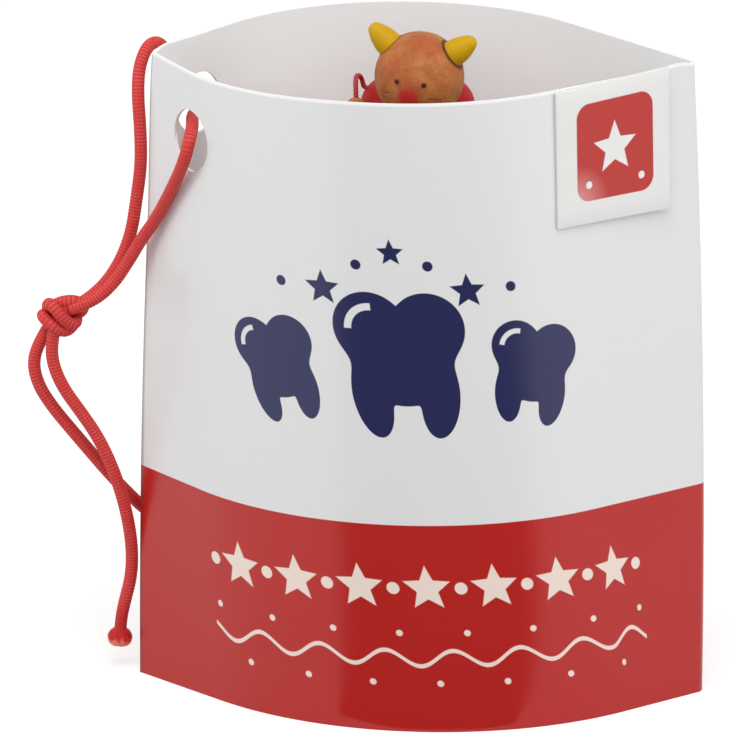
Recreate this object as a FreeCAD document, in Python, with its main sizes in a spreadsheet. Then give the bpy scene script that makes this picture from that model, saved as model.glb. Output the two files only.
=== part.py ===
"""Wooden milk-tooth pot with an animal figure on its lid, standing in a printed card sleeve.

Millimetres. +Z is up, the sleeve's front panel faces -Y, and the origin is on the floor under the
middle of the sleeve.
"""

import FreeCAD, Part
import math
import os

import Sketcher

V = FreeCAD.Vector
Turn = FreeCAD.Rotation
Place = FreeCAD.Placement

# Driving dimensions: name, value, meaning
SIZES = (
    ("sleeve_height", 88.0, "card sleeve from foot to rim"),
    ("card_thick", 0.45, "card thickness"),
    ("seam_y", -1.05, "depth of the plane that holds both side edges"),
    ("fold_radius", 1.5, "outside radius of the right fold"),
    ("seam_depth", 0.66, "depth of the glued left edge"),
    ("foot_half_width", 38.0, "half the width of the sleeve at its foot"),
    ("foot_front_left_lean", 41.0, "angle of the front panel at the left edge, foot"),
    ("foot_front_right_lean", 42.4, "angle of the front panel at the right fold, foot"),
    ("foot_front_bend", 40.5, "radius of the front panel's bend, foot"),
    ("foot_rear_left_lean", 43.0, "angle of the rear panel at the left edge, foot"),
    ("foot_rear_right_lean", 43.0, "angle of the rear panel at the right fold, foot"),
    ("foot_rear_bend", 38.0, "radius of the rear panel's bend, foot"),
    ("waist_half_width", 37.55, "half the width of the sleeve at mid height"),
    ("waist_front_left_lean", 50.6, "angle of the front panel at the left edge, mid height"),
    ("waist_front_right_lean", 40.9, "angle of the front panel at the right fold, mid height"),
    ("waist_front_bend", 36.7, "radius of the front panel's bend, mid height"),
    ("waist_rear_left_lean", 48.9, "angle of the rear panel at the left edge, mid height"),
    ("waist_rear_right_lean", 43.1, "angle of the rear panel at the right fold, mid height"),
    ("waist_rear_bend", 34.0, "radius of the rear panel's bend, mid height"),
    ("rim_half_width", 35.8, "half the width of the sleeve at its rim"),
    ("rim_front_left_lean", 60.2, "angle of the front panel at the left edge, rim"),
    ("rim_front_right_lean", 39.4, "angle of the front panel at the right fold, rim"),
    ("rim_front_bend", 32.9, "radius of the front panel's bend, rim"),
    ("rim_rear_left_lean", 54.7, "angle of the rear panel at the left edge, rim"),
    ("rim_rear_right_lean", 43.3, "angle of the rear panel at the right fold, rim"),
    ("rim_rear_bend", 30.1, "radius of the rear panel's bend, rim"),
    ("hole_radius", 4.2, "punched cord holes"),
    ("hole_inset", 5.4, "front hole's centre from the rim's left edge, seen from the front"),
    ("hole_drop", 9.95, "front hole's centre below the rim"),
    ("rear_hole_inset", 5.8, "rear hole's centre from the rim's left edge, seen from the front"),
    ("rear_hole_drop", 9.5, "rear hole's centre below the rim"),
    ("label_size", 18.5, "side of the square label"),
    ("label_thick", 0.35, "label thickness"),
    ("label_inset", 10.05, "label centre from the rim's right edge, seen from the front"),
    ("label_drop", 9.5, "label centre below the rim"),
    ("glue_gap", 0.3, "glue line under the label"),
    ("pot_axis_y", -0.3, "depth of the pot's axis"),
    ("pot_radius", 20.0, "outside radius of cup and lid"),
    ("pot_height", 40.0, "height of the cup"),
    ("pot_floor", 5.0, "thickness of the cup's floor"),
    ("cavity_radius", 15.5, "radius of the cup's hollow"),
    ("cavity_round", 3.0, "round between floor and wall of the hollow"),
    ("pot_foot_round", 1.6, "round at the cup's foot"),
    ("pot_rim_round", 0.6, "round at the cup's mouth"),
    ("lid_thick", 10.0, "height of the lid above the cup"),
    ("lid_seat_gap", 0.05, "gap between lid and cup"),
    ("lid_top_round", 3.5, "round at the lid's top edge"),
    ("lid_edge_round", 0.6, "round at the lid's lower edge"),
    ("spigot_height", 6.0, "depth of the lid's spigot in the cup"),
    ("spigot_round", 0.8, "round at the spigot's end"),
    ("spigot_gap", 0.08, "clearance between spigot and hollow"),
    ("dowel_gap", 0.04, "clearance round a glued dowel"),
    ("dowel_end_gap", 0.2, "clearance past a dowel's end"),
    ("body_dowel_radius", 2.0, "dowel between lid and body"),
    ("body_dowel_half", 6.0, "length of that dowel in each piece"),
    ("figure_x", -1.2, "place of the figure across the lid"),
    ("figure_y", 3.27, "place of the figure's body in depth"),
    ("body_height", 33.1, "height of the figure's body"),
    ("body_foot_radius", 9.5, "radius of the body at its foot"),
    ("body_top_radius", 7.4, "radius of the body at its shoulders"),
    ("body_foot_round", 2.5, "round at the body's foot"),
    ("shoulder_round", 3.4, "round of the shoulders"),
    ("neck_tilt", 37.75, "lean of the neck towards the front"),
    ("neck_lean", 7.6, "lean of the neck to the right"),
    ("neck_seat", 0.74, "depth of the head's seat in the body"),
    ("neck_glue", 0.03, "glue line in that seat"),
    ("neck_dowel_radius", 1.2, "dowel between head and body"),
    ("neck_dowel_half", 3.2, "length of that dowel in each piece"),
    ("head_radius", 5.95, "ball head"),
    ("head_yaw", -8.4, "turn of the head to the left"),
    ("head_roll", 4.2, "tilt of the head to the right"),
    ("ear_splay", 49.0, "angle of an ear from the head's top"),
    ("ear_base_radius", 1.8, "radius of an ear at its foot"),
    ("ear_tip_radius", 1.05, "rounded tip of an ear"),
    ("ear_length", 4.55, "length of an ear from its socket"),
    ("ear_shank", 0.8, "straight foot of an ear in its socket"),
    ("ear_socket", 1.15, "depth of an ear's socket in the head"),
    ("arm_radius", 0.34, "thin cord of the arms"),
    ("arm_drop", 2.36, "middle of the arm hole below the body's top"),
    ("arm_slope", 9.0, "slope of the arm hole down to the right"),
    ("arm_gap", 0.12, "clearance of the arm cord in the body"),
    ("hand_radius", 1.35, "hand beads"),
    ("hand_bore", 1.25, "depth of the cord's bore in a hand bead"),
    ("foot_radius", 4.0, "foot beads"),
    ("foot_flat", 1.0, "depth of the flat under a foot bead"),
    ("foot_spread", 4.6, "foot bead from the figure's middle"),
    ("foot_gap", 0.2, "gap between foot bead and body"),
    ("cord_radius", 0.86, "braided elastic cord"),
    ("knot_core", 2.0, "half thickness of the knot's core"),
    ("knot_length", 2.9, "half length of the knot's core"),
    ("knot_ring", 1.75, "middle radius of a wrap round the knot"),
    ("knot_step", 0.9, "wrap from the knot's middle"),
    ("knot_lean", 24.0, "lean of the wraps"),
    ("melt_radius", 1.64, "half width of a melted cord end"),
    ("melt_length", 1.35, "half length of a melted cord end"),
)

# Free routes, chosen by eye for holes at ROUTE_HOLE: the hang cord from knot to knot and its two tails
HANG_ROUTE = (
    V(-46.9, -1.9, 51.1),
    V(-44.3, -1.95, 52.5),
    V(-41.7, -2.0, 55.2),
    V(-39.6, -2.2, 58.7),
    V(-37.5, -3.1, 62.0),
    V(-35.5, -5.0, 65.2),
    V(-33.6, -7.5, 69.2),
    V(-31.9, -10.7, 73.2),
    V(-30.85, -13.0, 76.4),
    V(-30.45, -12.7, 78.8),
    V(-30.2, -9.4, 79.8),
    V(-29.8, -4.4, 79.3),
    V(-29.8, 2.0, 79.0),
    V(-30.0, 7.4, 79.6),
    V(-31.6, 10.6, 81.3),
    V(-34.4, 9.9, 84.2),
    V(-36.1, 7.6, 86.3),
    V(-37.4, 4.6, 86.7),
    V(-38.35, 2.3, 84.4),
    V(-38.4, 0.7, 81.0),
    V(-37.95, -0.1, 76.2),
    V(-37.85, -0.2, 71.4),
    V(-38.5, 0.0, 66.5),
    V(-39.5, 0.0, 61.4),
    V(-41.4, 0.0, 56.8),
    V(-43.9, -0.05, 53.1),
    V(-46.6, -0.1, 51.3),
)
FRONT_TAIL_ROUTE = (
    V(-49.3, -2.0, 48.9),
    V(-49.7, -2.0, 46.2),
    V(-49.4, -2.0, 43.2),
    V(-48.2, -2.0, 40.2),
    V(-46.2, -2.0, 37.2),
    V(-44.0, -2.05, 33.9),
    V(-42.3, -2.1, 30.3),
    V(-41.0, -1.75, 26.3),
    V(-39.75, -1.05, 21.8),
    V(-39.1, -0.3, 17.2),
    V(-39.3, 0.2, 13.2),
    V(-40.2, 0.4, 9.6),
    V(-40.75, 0.4, 6.9),
    V(-40.85, 0.35, 4.6),
)
REAR_TAIL_ROUTE = (
    V(-50.0, -0.2, 48.9),
    V(-51.7, -0.2, 46.5),
    V(-52.5, -0.2, 43.4),
    V(-51.8, -0.1, 40.1),
    V(-49.8, 0.0, 36.9),
    V(-47.3, 0.1, 33.8),
    V(-44.7, 0.3, 30.6),
    V(-42.2, 0.8, 27.4),
    V(-39.9, 1.9, 24.5),
    V(-37.9, 3.6, 21.8),
    V(-35.8, 5.6, 19.6),
    V(-33.4, 7.6, 18.2),
)
# The arms' route, from the middle of the body's arm hole and with X along that hole
ARM_ROUTE = (
    V(-7.75, -4.8, -1.25),
    V(-8.0, -4.5, 0.1),
    V(-8.35, -3.7, 1.5),
    V(-8.5, -2.2, 2.2),
    V(-8.05, -0.65, 1.75),
    V(-7.85, -0.1, 0.85),
    V(-7.5, 0.0, -0.01),
    V(-5.1, 0.0, 0.01),
    V(-0.9, 0.0, -0.01),
    V(3.3, 0.0, 0.01),
    V(5.9, 0.0, -0.01),
    V(8.6, 0.0, 0.0),
    V(9.9, -0.2, -0.8),
    V(10.75, -0.9, -2.8),
    V(11.2, -1.6, -5.6),
    V(11.6, -1.6, -8.2),
)
KNOT_CENTRE = V(-48.6, -1.05, 50.2)
ROUTE_HOLE = V(-30.4, 0, 78.05)
KNOT_AXIS_LEAN = 52.0
SLEEVE_LEVELS = (("foot", "0"), ("waist", "dims.sleeve_height / 2"), ("rim", "dims.sleeve_height"))
LID_TOP = "dims.pot_height + dims.lid_seat_gap + dims.lid_thick"
PANEL_REACH = 100.0
PUNCH_DEPTH = 6.0
HEAD_SEAM_TURN = 135.0
BEND_SHARE = 0.45

doc = FreeCAD.newDocument("tooth_pot")
sheet = doc.addObject("Spreadsheet::Sheet", "dims")
for row, (alias, value, meaning) in enumerate(SIZES, 1):
    sheet.set(f"A{row}", meaning)
    sheet.set(f"B{row}", str(value))
    sheet.setAlias(f"B{row}", alias)
doc.recompute()


def size(alias):
    """The sheet's value of one driving dimension."""
    return float(sheet.get(alias))


def worth(expression):
    """The value of an expression on the sheet."""
    return float(sheet.evalExpression(expression))


def bind(item, **expressions):
    """Bind properties of an object, with double underscores for dots, to expressions on the sheet."""
    for name, expression in expressions.items():
        item.setExpression(name.replace("__", "."), expression)


def new_body(label):
    body = doc.addObject("PartDesign::Body", label)
    body.Label = label
    return body


def plane(body, role):
    return next(f for f in body.Origin.OriginFeatures if f.Role == role)


def attach(body, item, role, offset=None):
    """Attach a sketch or primitive to one of its body's own origin planes."""
    item.AttachmentSupport = [(plane(body, role), "")]
    item.MapMode = "FlatFace"
    if offset is not None:
        item.AttachmentOffset = offset
    return item


def new_sketch(body, name, role="XY_Plane", offset=None):
    return attach(body, body.newObject("Sketcher::SketchObject", name), role, offset)


def dimension(sketch, name, constraint, expression):
    """Add a named dimension to a sketch and bind it to an expression."""
    index = sketch.addConstraint(constraint)
    sketch.renameConstraint(index, name)
    sketch.setExpression(f"Constraints.{name}", expression)


def pin_point(sketch, name, curve, end, across, up):
    """Hold a sketch point at its distances from the sketch's origin, whatever their signs."""
    for axis, axis_curve, expression in (("X", -2, across), ("Y", -1, up)):
        value = worth(expression)
        if expression == "0":
            sketch.addConstraint(Sketcher.Constraint("PointOnObject", curve, end, axis_curve))
        elif value < 0:
            held = Sketcher.Constraint("Distance" + axis, curve, end, -1, 1, -value)
            dimension(sketch, f"{name}_{axis}", held, f"-({expression})")
        else:
            held = Sketcher.Constraint("Distance" + axis, -1, 1, curve, end, value)
            dimension(sketch, f"{name}_{axis}", held, expression)


def polygon(sketch, corners):
    """A closed outline of straight lines whose corners are bound to (across, up) expressions."""
    points = [V(worth(across), worth(up), 0) for across, up in corners]
    count = len(corners)
    sketch.addGeometry([Part.LineSegment(points[i], points[(i + 1) % count]) for i in range(count)])
    for i in range(count):
        sketch.addConstraint(Sketcher.Constraint("Coincident", i, 2, (i + 1) % count, 1))
    for i, corner in enumerate(corners):
        pin_point(sketch, f"p{i}", i, 1, *corner)


def circle_sketch(body, name, radius, offset):
    """A circle about the sketch's origin whose radius is one alias."""
    sketch = new_sketch(body, name, offset=offset)
    sketch.addGeometry(Part.Circle(V(), V(0, 0, 1), size(radius)))
    sketch.addConstraint(Sketcher.Constraint("Coincident", 0, 3, -1, 1))
    dimension(sketch, "radius", Sketcher.Constraint("Radius", 0, size(radius)), f"dims.{radius}")
    return sketch


def corner_arc(left, right, apex, radius):
    """Tangent points and centre of an arc of the given radius in the corner at apex."""
    to_left = (left - apex).normalize()
    to_right = (right - apex).normalize()
    half = to_left.getAngle(to_right) / 2
    middle = (to_left + to_right).normalize()
    reach = radius / math.tan(half)
    return apex + to_left * reach, apex + to_right * reach, apex + middle * (radius / math.sin(half))


def panel_apex(left, left_lean, right, right_lean, side):
    """Where the two straight ends of a panel would meet; side is -1 for the front and 1 for the rear."""
    rise_left = math.tan(math.radians(left_lean))
    rise_right = math.tan(math.radians(right_lean))
    across = (rise_right * (right.x - left.x) + side * (right.y - left.y)) / (rise_left + rise_right)
    return V(left.x + across, left.y + side * rise_left * across, 0)


def sleeve_outline(body, level, height, inset, seam):
    """The sleeve's closed section at one level: straight ends and one bend on each panel, a rounded fold
    on the right and a sharp glued edge on the left. inset and seam are expressions for the card's depth."""
    edge_x = f"{seam} - dims.{level}_half_width"
    hub_x = f"dims.{level}_half_width - dims.fold_radius"
    edge = V(worth(edge_x), size("seam_y"), 0)
    hub = V(worth(hub_x), size("seam_y"), 0)
    fold = worth(f"dims.fold_radius - {inset}")
    panels = []
    for side, name in ((-1, "front"), (1, "rear")):
        lean_l, lean_r = size(f"{level}_{name}_left_lean"), size(f"{level}_{name}_right_lean")
        out = V(math.sin(math.radians(lean_r)), side * math.cos(math.radians(lean_r)), 0)
        fold_end = hub + out * fold
        apex = panel_apex(edge, lean_l, fold_end, lean_r, side)
        bend = worth(f"dims.{level}_{name}_bend - {inset}")
        panels.append((fold_end, *corner_arc(edge, fold_end, apex, bend), bend))
    (fold_1, left_1, right_1, middle_1, bend_1), (fold_2, left_2, right_2, middle_2, bend_2) = panels

    def arc(centre, radius, start, end):
        angles = [math.atan2(p.y - centre.y, p.x - centre.x) for p in (start, end)]
        return Part.ArcOfCircle(Part.Circle(centre, V(0, 0, 1), radius), *angles)

    sketch = new_sketch(body, f"{level}_outline", offset=Place())
    sketch.addGeometry(
        [
            Part.LineSegment(edge, left_1),
            arc(middle_1, bend_1, left_1, right_1),
            Part.LineSegment(right_1, fold_1),
            arc(hub, fold, fold_1, fold_2),
            Part.LineSegment(right_2, fold_2),
            arc(middle_2, bend_2, right_2, left_2),
            Part.LineSegment(edge, left_2),
        ]
    )
    for joint in ((0, 2, 1, 1), (1, 2, 2, 1), (2, 2, 3, 1), (3, 2, 4, 2), (4, 1, 5, 1), (5, 2, 6, 2)):
        sketch.addConstraint(Sketcher.Constraint("Tangent", *joint))
    sketch.addConstraint(Sketcher.Constraint("Coincident", 0, 1, 6, 1))
    pin_point(sketch, "edge", 0, 1, edge_x, "dims.seam_y")
    pin_point(sketch, "hub", 3, 3, hub_x, "dims.seam_y")
    for name, curve, value, alias in (
        ("fold", 3, fold, "fold_radius"),
        ("front_bend", 1, bend_1, f"{level}_front_bend"),
        ("rear_bend", 5, bend_2, f"{level}_rear_bend"),
    ):
        dimension(sketch, name, Sketcher.Constraint("Radius", curve, value), f"dims.{alias} - {inset}")
    for name, curve, sign in (
        ("front_left", 0, -1),
        ("front_right", 2, 1),
        ("rear_right", 4, -1),
        ("rear_left", 6, 1),
    ):
        lean = sign * size(f"{level}_{name}_lean")
        held = Sketcher.Constraint("Angle", curve, math.radians(lean))
        dimension(sketch, f"{name}_lean", held, f"{sign} * dims.{level}_{name}_lean * 1 deg")
    bind(sketch, AttachmentOffset__Base__z=height)
    return sketch


def on_panel(solid, x, z, side):
    """A point on the sleeve's outside and the outward normal there; side is -1 for the front."""
    ray = Part.makeLine(V(x, side * PANEL_REACH, z), V(x, size("seam_y"), z))
    best = None
    for face in solid.Faces:
        gap, pairs, _ = ray.distToShape(face)
        for _, hit in pairs:
            if gap < 1e-6 and (best is None or side * hit.y > side * best[0].y):
                best = (hit, face)
    hit, face = best
    normal = face.normalAt(*face.Surface.parameter(hit))
    return hit, normal if normal.y * side > 0 else normal * -1


def upright(point, normal):
    """A placement at a point of a wall: X level along the wall, Y up, Z out of it."""
    level = V(0, 0, 1).cross(normal).normalize()
    return Place(point, Turn(level, normal.cross(level), normal, "ZXY"))


def make_sleeve():
    """The card wrap: lofted through its three sections, hollow, with a cord hole punched in each panel."""
    body = new_body("card_sleeve")
    for name, kind, inset, seam in (
        ("wrap", "AdditiveLoft", "0", "0"),
        ("hollow", "SubtractiveLoft", "dims.card_thick", "dims.seam_depth"),
    ):
        outlines = [sleeve_outline(body, level, height, inset, seam) for level, height in SLEEVE_LEVELS]
        loft = body.newObject(f"PartDesign::{kind}", name)
        loft.Profile = outlines[0]
        loft.Sections = outlines[1:]
        loft.Ruled = False
        doc.recompute()
    wrap = doc.getObject("wrap").Shape
    for name, side, hole in (("front", -1, "hole"), ("rear", 1, "rear_hole")):
        x = size(f"{hole}_inset") - size("rim_half_width")
        z = size("sleeve_height") - size(f"{hole}_drop")
        place = upright(*on_panel(wrap, x, z, side))
        sketch = circle_sketch(body, f"{name}_hole", "hole_radius", place)
        punch = body.newObject("PartDesign::Pocket", f"{name}_punch")
        punch.Profile = sketch
        punch.Midplane = True
        punch.Length = PUNCH_DEPTH
    return body


def make_label():
    """The square paper label, flat on the straight right end of the front panel."""
    wrap = doc.getObject("wrap").Shape
    x = size("rim_half_width") - size("label_inset")
    z = size("sleeve_height") - size("label_drop")
    point, normal = on_panel(wrap, x, z, -1)
    body = new_body("front_label")
    sketch = new_sketch(body, "label_square")
    low, high = "-dims.label_size / 2", "dims.label_size / 2"
    polygon(sketch, [(low, low), (high, low), (high, high), (low, high)])
    pad = body.newObject("PartDesign::Pad", "label_paper")
    pad.Profile = sketch
    bind(pad, Length="dims.label_thick")
    body.Placement = upright(point + normal * size("glue_gap"), normal)
    return body


def turned(body, name, profile):
    """A solid turned about Z from corners given as (radius, height) expressions."""
    sketch = new_sketch(body, f"{name}_profile", "XZ_Plane")
    polygon(sketch, profile)
    solid = body.newObject("PartDesign::Revolution", name)
    solid.Profile = sketch
    solid.ReferenceAxis = (sketch, ["V_Axis"])
    solid.Angle = 360
    doc.recompute()
    return solid


def round_rims(body, name, radius, *rims):
    """Fillet the circular edges at the given (radius, height) expressions of a turned piece."""
    base = body.Tip
    wanted = [(worth(r), worth(z)) for r, z in rims]

    def is_wanted(curve):
        return isinstance(curve, Part.Circle) and any(
            math.isclose(curve.Radius, r, abs_tol=1e-4) and math.isclose(curve.Center.z, z, abs_tol=1e-4)
            for r, z in wanted
        )

    edges = [f"Edge{i}" for i, edge in enumerate(base.Shape.Edges, 1) if is_wanted(edge.Curve)]
    fillet = body.newObject("PartDesign::Fillet", name)
    fillet.Base = (base, edges)
    bind(fillet, Radius=f"dims.{radius}")
    doc.recompute()


def bore(body, name, radius, length, offset, expressions=None):
    """Cut a round hole along the offset's Z, from its origin."""
    drill = attach(body, body.newObject("PartDesign::SubtractiveCylinder", name), "XY_Plane", offset)
    bind(drill, Radius=radius, Height=length, **(expressions or {}))
    return drill


def make_cup():
    """The turned cup with its round hollow."""
    outside, top = "dims.pot_radius", "dims.pot_height"
    hollow, floor = "dims.cavity_radius", "dims.pot_floor"
    body = new_body("pot_cup")
    profile = [("0", "0"), (outside, "0"), (outside, top), (hollow, top), (hollow, floor), ("0", floor)]
    turned(body, "cup_turning", profile)
    round_rims(body, "cup_foot_round", "pot_foot_round", (outside, "0"))
    round_rims(body, "cup_hollow_round", "cavity_round", (hollow, floor))
    round_rims(body, "cup_mouth_round", "pot_rim_round", (outside, top), (hollow, top))
    bind(body, Placement__Base__y="dims.pot_axis_y")
    return body


def make_lid():
    """The turned lid: its spigot fits the cup's hollow, and the figure's dowel stands in its top."""
    outside, top = "dims.pot_radius", "dims.lid_thick"
    plug, low = "dims.cavity_radius - dims.spigot_gap", "-dims.spigot_height"
    body = new_body("lid")
    profile = [("0", low), (plug, low), (plug, "0"), (outside, "0"), (outside, top), ("0", top)]
    turned(body, "lid_turning", profile)
    round_rims(body, "lid_crown_round", "lid_top_round", (outside, top))
    round_rims(body, "lid_lower_round", "lid_edge_round", (outside, "0"))
    round_rims(body, "spigot_end_round", "spigot_round", (plug, low))
    bore(
        body,
        "lid_dowel_hole",
        "dims.body_dowel_radius + dims.dowel_gap",
        "dims.body_dowel_half + dims.dowel_end_gap",
        Place(),
        {
            "AttachmentOffset__Base__x": "dims.figure_x",
            "AttachmentOffset__Base__y": "dims.figure_y - dims.pot_axis_y",
            "AttachmentOffset__Base__z": "dims.lid_thick - dims.body_dowel_half - dims.dowel_end_gap",
        },
    )
    bind(body, Placement__Base__y="dims.pot_axis_y")
    bind(body, Placement__Base__z="dims.pot_height + dims.lid_seat_gap")
    return body


def figure_frame():
    """The figure's frame: on the lid's top, at the middle of the figure's body."""
    return Place(V(size("figure_x"), size("figure_y"), worth(LID_TOP)), Turn())


def arm_frame():
    """The arm hole's frame: at its middle on the body's axis, with X along the hole."""
    middle = V(0, 0, size("body_height") - size("arm_drop"))
    return figure_frame() * Place(middle, Turn(V(0, 1, 0), size("arm_slope")))


def neck_frame():
    """A placement on the neck's axis: at the middle of the shoulders' round, with Z towards the head."""
    core = size("body_top_radius") - size("shoulder_round")
    base = V(0, -core, size("body_height") - size("shoulder_round"))
    aim = Turn(V(0, 1, 0), size("neck_lean")) * Turn(V(1, 0, 0), size("neck_tilt"))
    return figure_frame() * Place(base, aim)


def neck_dowel_frame(spare):
    """The lower end of the neck's dowel, or of its hole with some spare length."""
    contact = size("shoulder_round") - size("neck_seat")
    return neck_frame() * Place(V(0, 0, contact - size("neck_dowel_half") - spare), Turn())


def head_frame():
    """The head's own frame at its centre, turned and tilted as the figure holds it."""
    reach = size("head_radius") + size("shoulder_round") - size("neck_seat")
    centre = neck_frame() * V(0, 0, reach)
    look = Turn(V(0, 0, 1), size("head_yaw")) * Turn(V(0, 1, 0), size("head_roll"))
    return Place(centre, look)


def make_body():
    """The figure's turned body, with its seat for the head and the holes for dowels and arms."""
    foot, shoulder, top = "dims.body_foot_radius", "dims.body_top_radius", "dims.body_height"
    body = new_body("figure_body")
    turned(body, "body_turning", [("0", "0"), (foot, "0"), (shoulder, top), ("0", top)])
    round_rims(body, "shoulder_fillet", "shoulder_round", (shoulder, top))
    round_rims(body, "body_foot_fillet", "body_foot_round", (foot, "0"))
    bore(
        body,
        "body_dowel_hole",
        "dims.body_dowel_radius + dims.dowel_gap",
        "dims.body_dowel_half + dims.dowel_end_gap",
        Place(),
    )
    to_figure = figure_frame().inverse()
    outside = Place(V(-2 * size("body_foot_radius"), 0, 0), Turn(V(0, 1, 0), 90))
    bore(
        body,
        "arm_hole",
        "dims.arm_radius + dims.arm_gap",
        "4 * dims.body_foot_radius",
        to_figure * arm_frame() * outside,
    )
    seat = body.newObject("PartDesign::SubtractiveSphere", "head_seat")
    attach(body, seat, "XY_Plane", Place(to_figure * head_frame().Base, Turn()))
    bind(seat, Radius="dims.head_radius + dims.neck_glue")
    bore(
        body,
        "body_neck_hole",
        "dims.neck_dowel_radius + dims.dowel_gap",
        "2 * dims.neck_dowel_half",
        to_figure * neck_dowel_frame(size("dowel_end_gap")),
    )
    bind(body, Placement__Base__x="dims.figure_x", Placement__Base__y="dims.figure_y")
    bind(body, Placement__Base__z=LID_TOP)
    return body


def make_dowel(label, radius, half, place):
    dowel = doc.addObject("Part::Cylinder", label)
    dowel.Label = label
    bind(dowel, Radius=f"dims.{radius}", Height=f"2 * dims.{half}")
    dowel.Placement = place
    return dowel


def make_dowels():
    low = figure_frame() * Place(V(0, 0, -size("body_dowel_half")), Turn())
    return [
        make_dowel("body_dowel", "body_dowel_radius", "body_dowel_half", low),
        make_dowel("neck_dowel", "neck_dowel_radius", "neck_dowel_half", neck_dowel_frame(0)),
    ]


def ear_frame(side):
    """An ear's frame in the head's frame: at the floor of its socket, with Z along the ear."""
    turn = Turn(V(0, 1, 0), side * size("ear_splay"))
    return Place(turn.multVec(V(0, 0, size("head_radius") - size("ear_socket"))), turn)


def make_head():
    """The ball head, with sockets for the ears and a hole for the neck's dowel."""
    body = new_body("head")
    seam_clear_of_holes = Place(V(), Turn(V(0, 0, 1), HEAD_SEAM_TURN))
    ball = body.newObject("PartDesign::AdditiveSphere", "head_ball")
    attach(body, ball, "XY_Plane", seam_clear_of_holes)
    bind(ball, Radius="dims.head_radius")
    for name, side in (("left", -1), ("right", 1)):
        bore(
            body,
            f"{name}_ear_socket",
            "dims.ear_base_radius + dims.dowel_gap",
            "2 * dims.ear_socket",
            ear_frame(side),
        )
    bore(
        body,
        "head_neck_hole",
        "dims.neck_dowel_radius + dims.dowel_gap",
        "2 * (dims.neck_dowel_half + dims.dowel_end_gap)",
        head_frame().inverse() * neck_dowel_frame(size("dowel_end_gap")),
    )
    body.Placement = head_frame()
    return body


def make_ear(label, side):
    """A turned ear: a straight foot in its socket, and a full flank that runs into a rounded tip."""
    base, tip = size("ear_base_radius"), size("ear_tip_radius")
    length, shank = size("ear_length"), size("ear_shank")
    body = new_body(label)
    sketch = new_sketch(body, f"{label}_profile", "XZ_Plane")
    rise = length - tip - shank
    flank = (base**2 + rise**2 - tip**2) / (2 * (base - tip))
    tip_hub, flank_hub = V(0, length - tip, 0), V(base - flank, shank, 0)
    aim = math.atan2(rise, flank - base)
    sketch.addGeometry(
        [
            Part.LineSegment(V(0, 0, 0), V(base, 0, 0)),
            Part.LineSegment(V(base, 0, 0), V(base, shank, 0)),
            Part.ArcOfCircle(Part.Circle(flank_hub, V(0, 0, 1), flank), 0, aim),
            Part.ArcOfCircle(Part.Circle(tip_hub, V(0, 0, 1), tip), aim, math.pi / 2),
            Part.LineSegment(V(0, length, 0), V(0, 0, 0)),
        ]
    )
    for first, end, second, start in ((0, 2, 1, 1), (3, 2, 4, 1), (4, 2, 0, 1)):
        sketch.addConstraint(Sketcher.Constraint("Coincident", first, end, second, start))
    for first, second in ((1, 2), (2, 3)):
        sketch.addConstraint(Sketcher.Constraint("Tangent", first, 2, second, 1))
    sketch.addConstraint(Sketcher.Constraint("Coincident", 0, 1, -1, 1))
    pin_point(sketch, "base", 0, 2, "dims.ear_base_radius", "0")
    pin_point(sketch, "shank", 1, 2, "dims.ear_base_radius", "dims.ear_shank")
    pin_point(sketch, "hub", 3, 3, "0", "dims.ear_length - dims.ear_tip_radius")
    pin_point(sketch, "top", 4, 1, "0", "dims.ear_length")
    turning = body.newObject("PartDesign::Revolution", f"{label}_turning")
    turning.Profile = sketch
    turning.ReferenceAxis = (sketch, ["V_Axis"])
    turning.Angle = 360
    glue = Place(V(0, 0, size("dowel_gap")), Turn())
    body.Placement = head_frame() * ear_frame(side) * glue
    return body


def arm_route():
    """The arm cord's route: through the arm hole in the body, and down or up to each hand."""
    return [arm_frame() * offset for offset in ARM_ROUTE]


def make_hand(label, cord_end, cord_next):
    """A bead with a blind bore in its top for the arm cord's end, in line with the cord."""
    body = new_body(label)
    bead = attach(body, body.newObject("PartDesign::AdditiveSphere", f"{label}_bead"), "XY_Plane")
    bind(bead, Radius="dims.hand_radius")
    bore(
        body,
        f"{label}_bore",
        "dims.arm_radius + dims.dowel_gap",
        "2 * dims.hand_radius",
        Place(),
        {"AttachmentOffset__Base__z": "dims.hand_radius - dims.hand_bore"},
    )
    seat = size("hand_radius") - size("hand_bore") + size("dowel_gap")
    aim = Turn(V(0, 0, 1), cord_next - cord_end)
    body.Placement = Place(cord_end - aim.multVec(V(0, 0, seat)), aim)
    return body


def make_foot(label, side):
    """A foot bead with a flat underside that stands on the lid in front of the body."""
    body = new_body(label)
    bead = attach(body, body.newObject("PartDesign::AdditiveSphere", f"{label}_bead"), "XY_Plane")
    bind(bead, Radius="dims.foot_radius")
    flat = attach(body, body.newObject("PartDesign::SubtractiveBox", f"{label}_flat"), "XY_Plane")
    bind(
        flat,
        Length="2 * dims.foot_radius",
        Width="2 * dims.foot_radius",
        Height="dims.foot_radius",
        AttachmentOffset__Base__x="-dims.foot_radius",
        AttachmentOffset__Base__y="-dims.foot_radius",
        AttachmentOffset__Base__z="dims.foot_flat - 2 * dims.foot_radius",
    )
    clear = "(dims.body_foot_radius + dims.foot_radius + dims.foot_gap)"
    bind(
        body,
        Placement__Base__x=f"dims.figure_x + {side} * dims.foot_spread",
        Placement__Base__y=f"dims.figure_y - sqrt({clear} ^ 2 - dims.foot_spread ^ 2)",
        Placement__Base__z=f"{LID_TOP} + dims.foot_radius - dims.foot_flat",
    )
    return body


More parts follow.
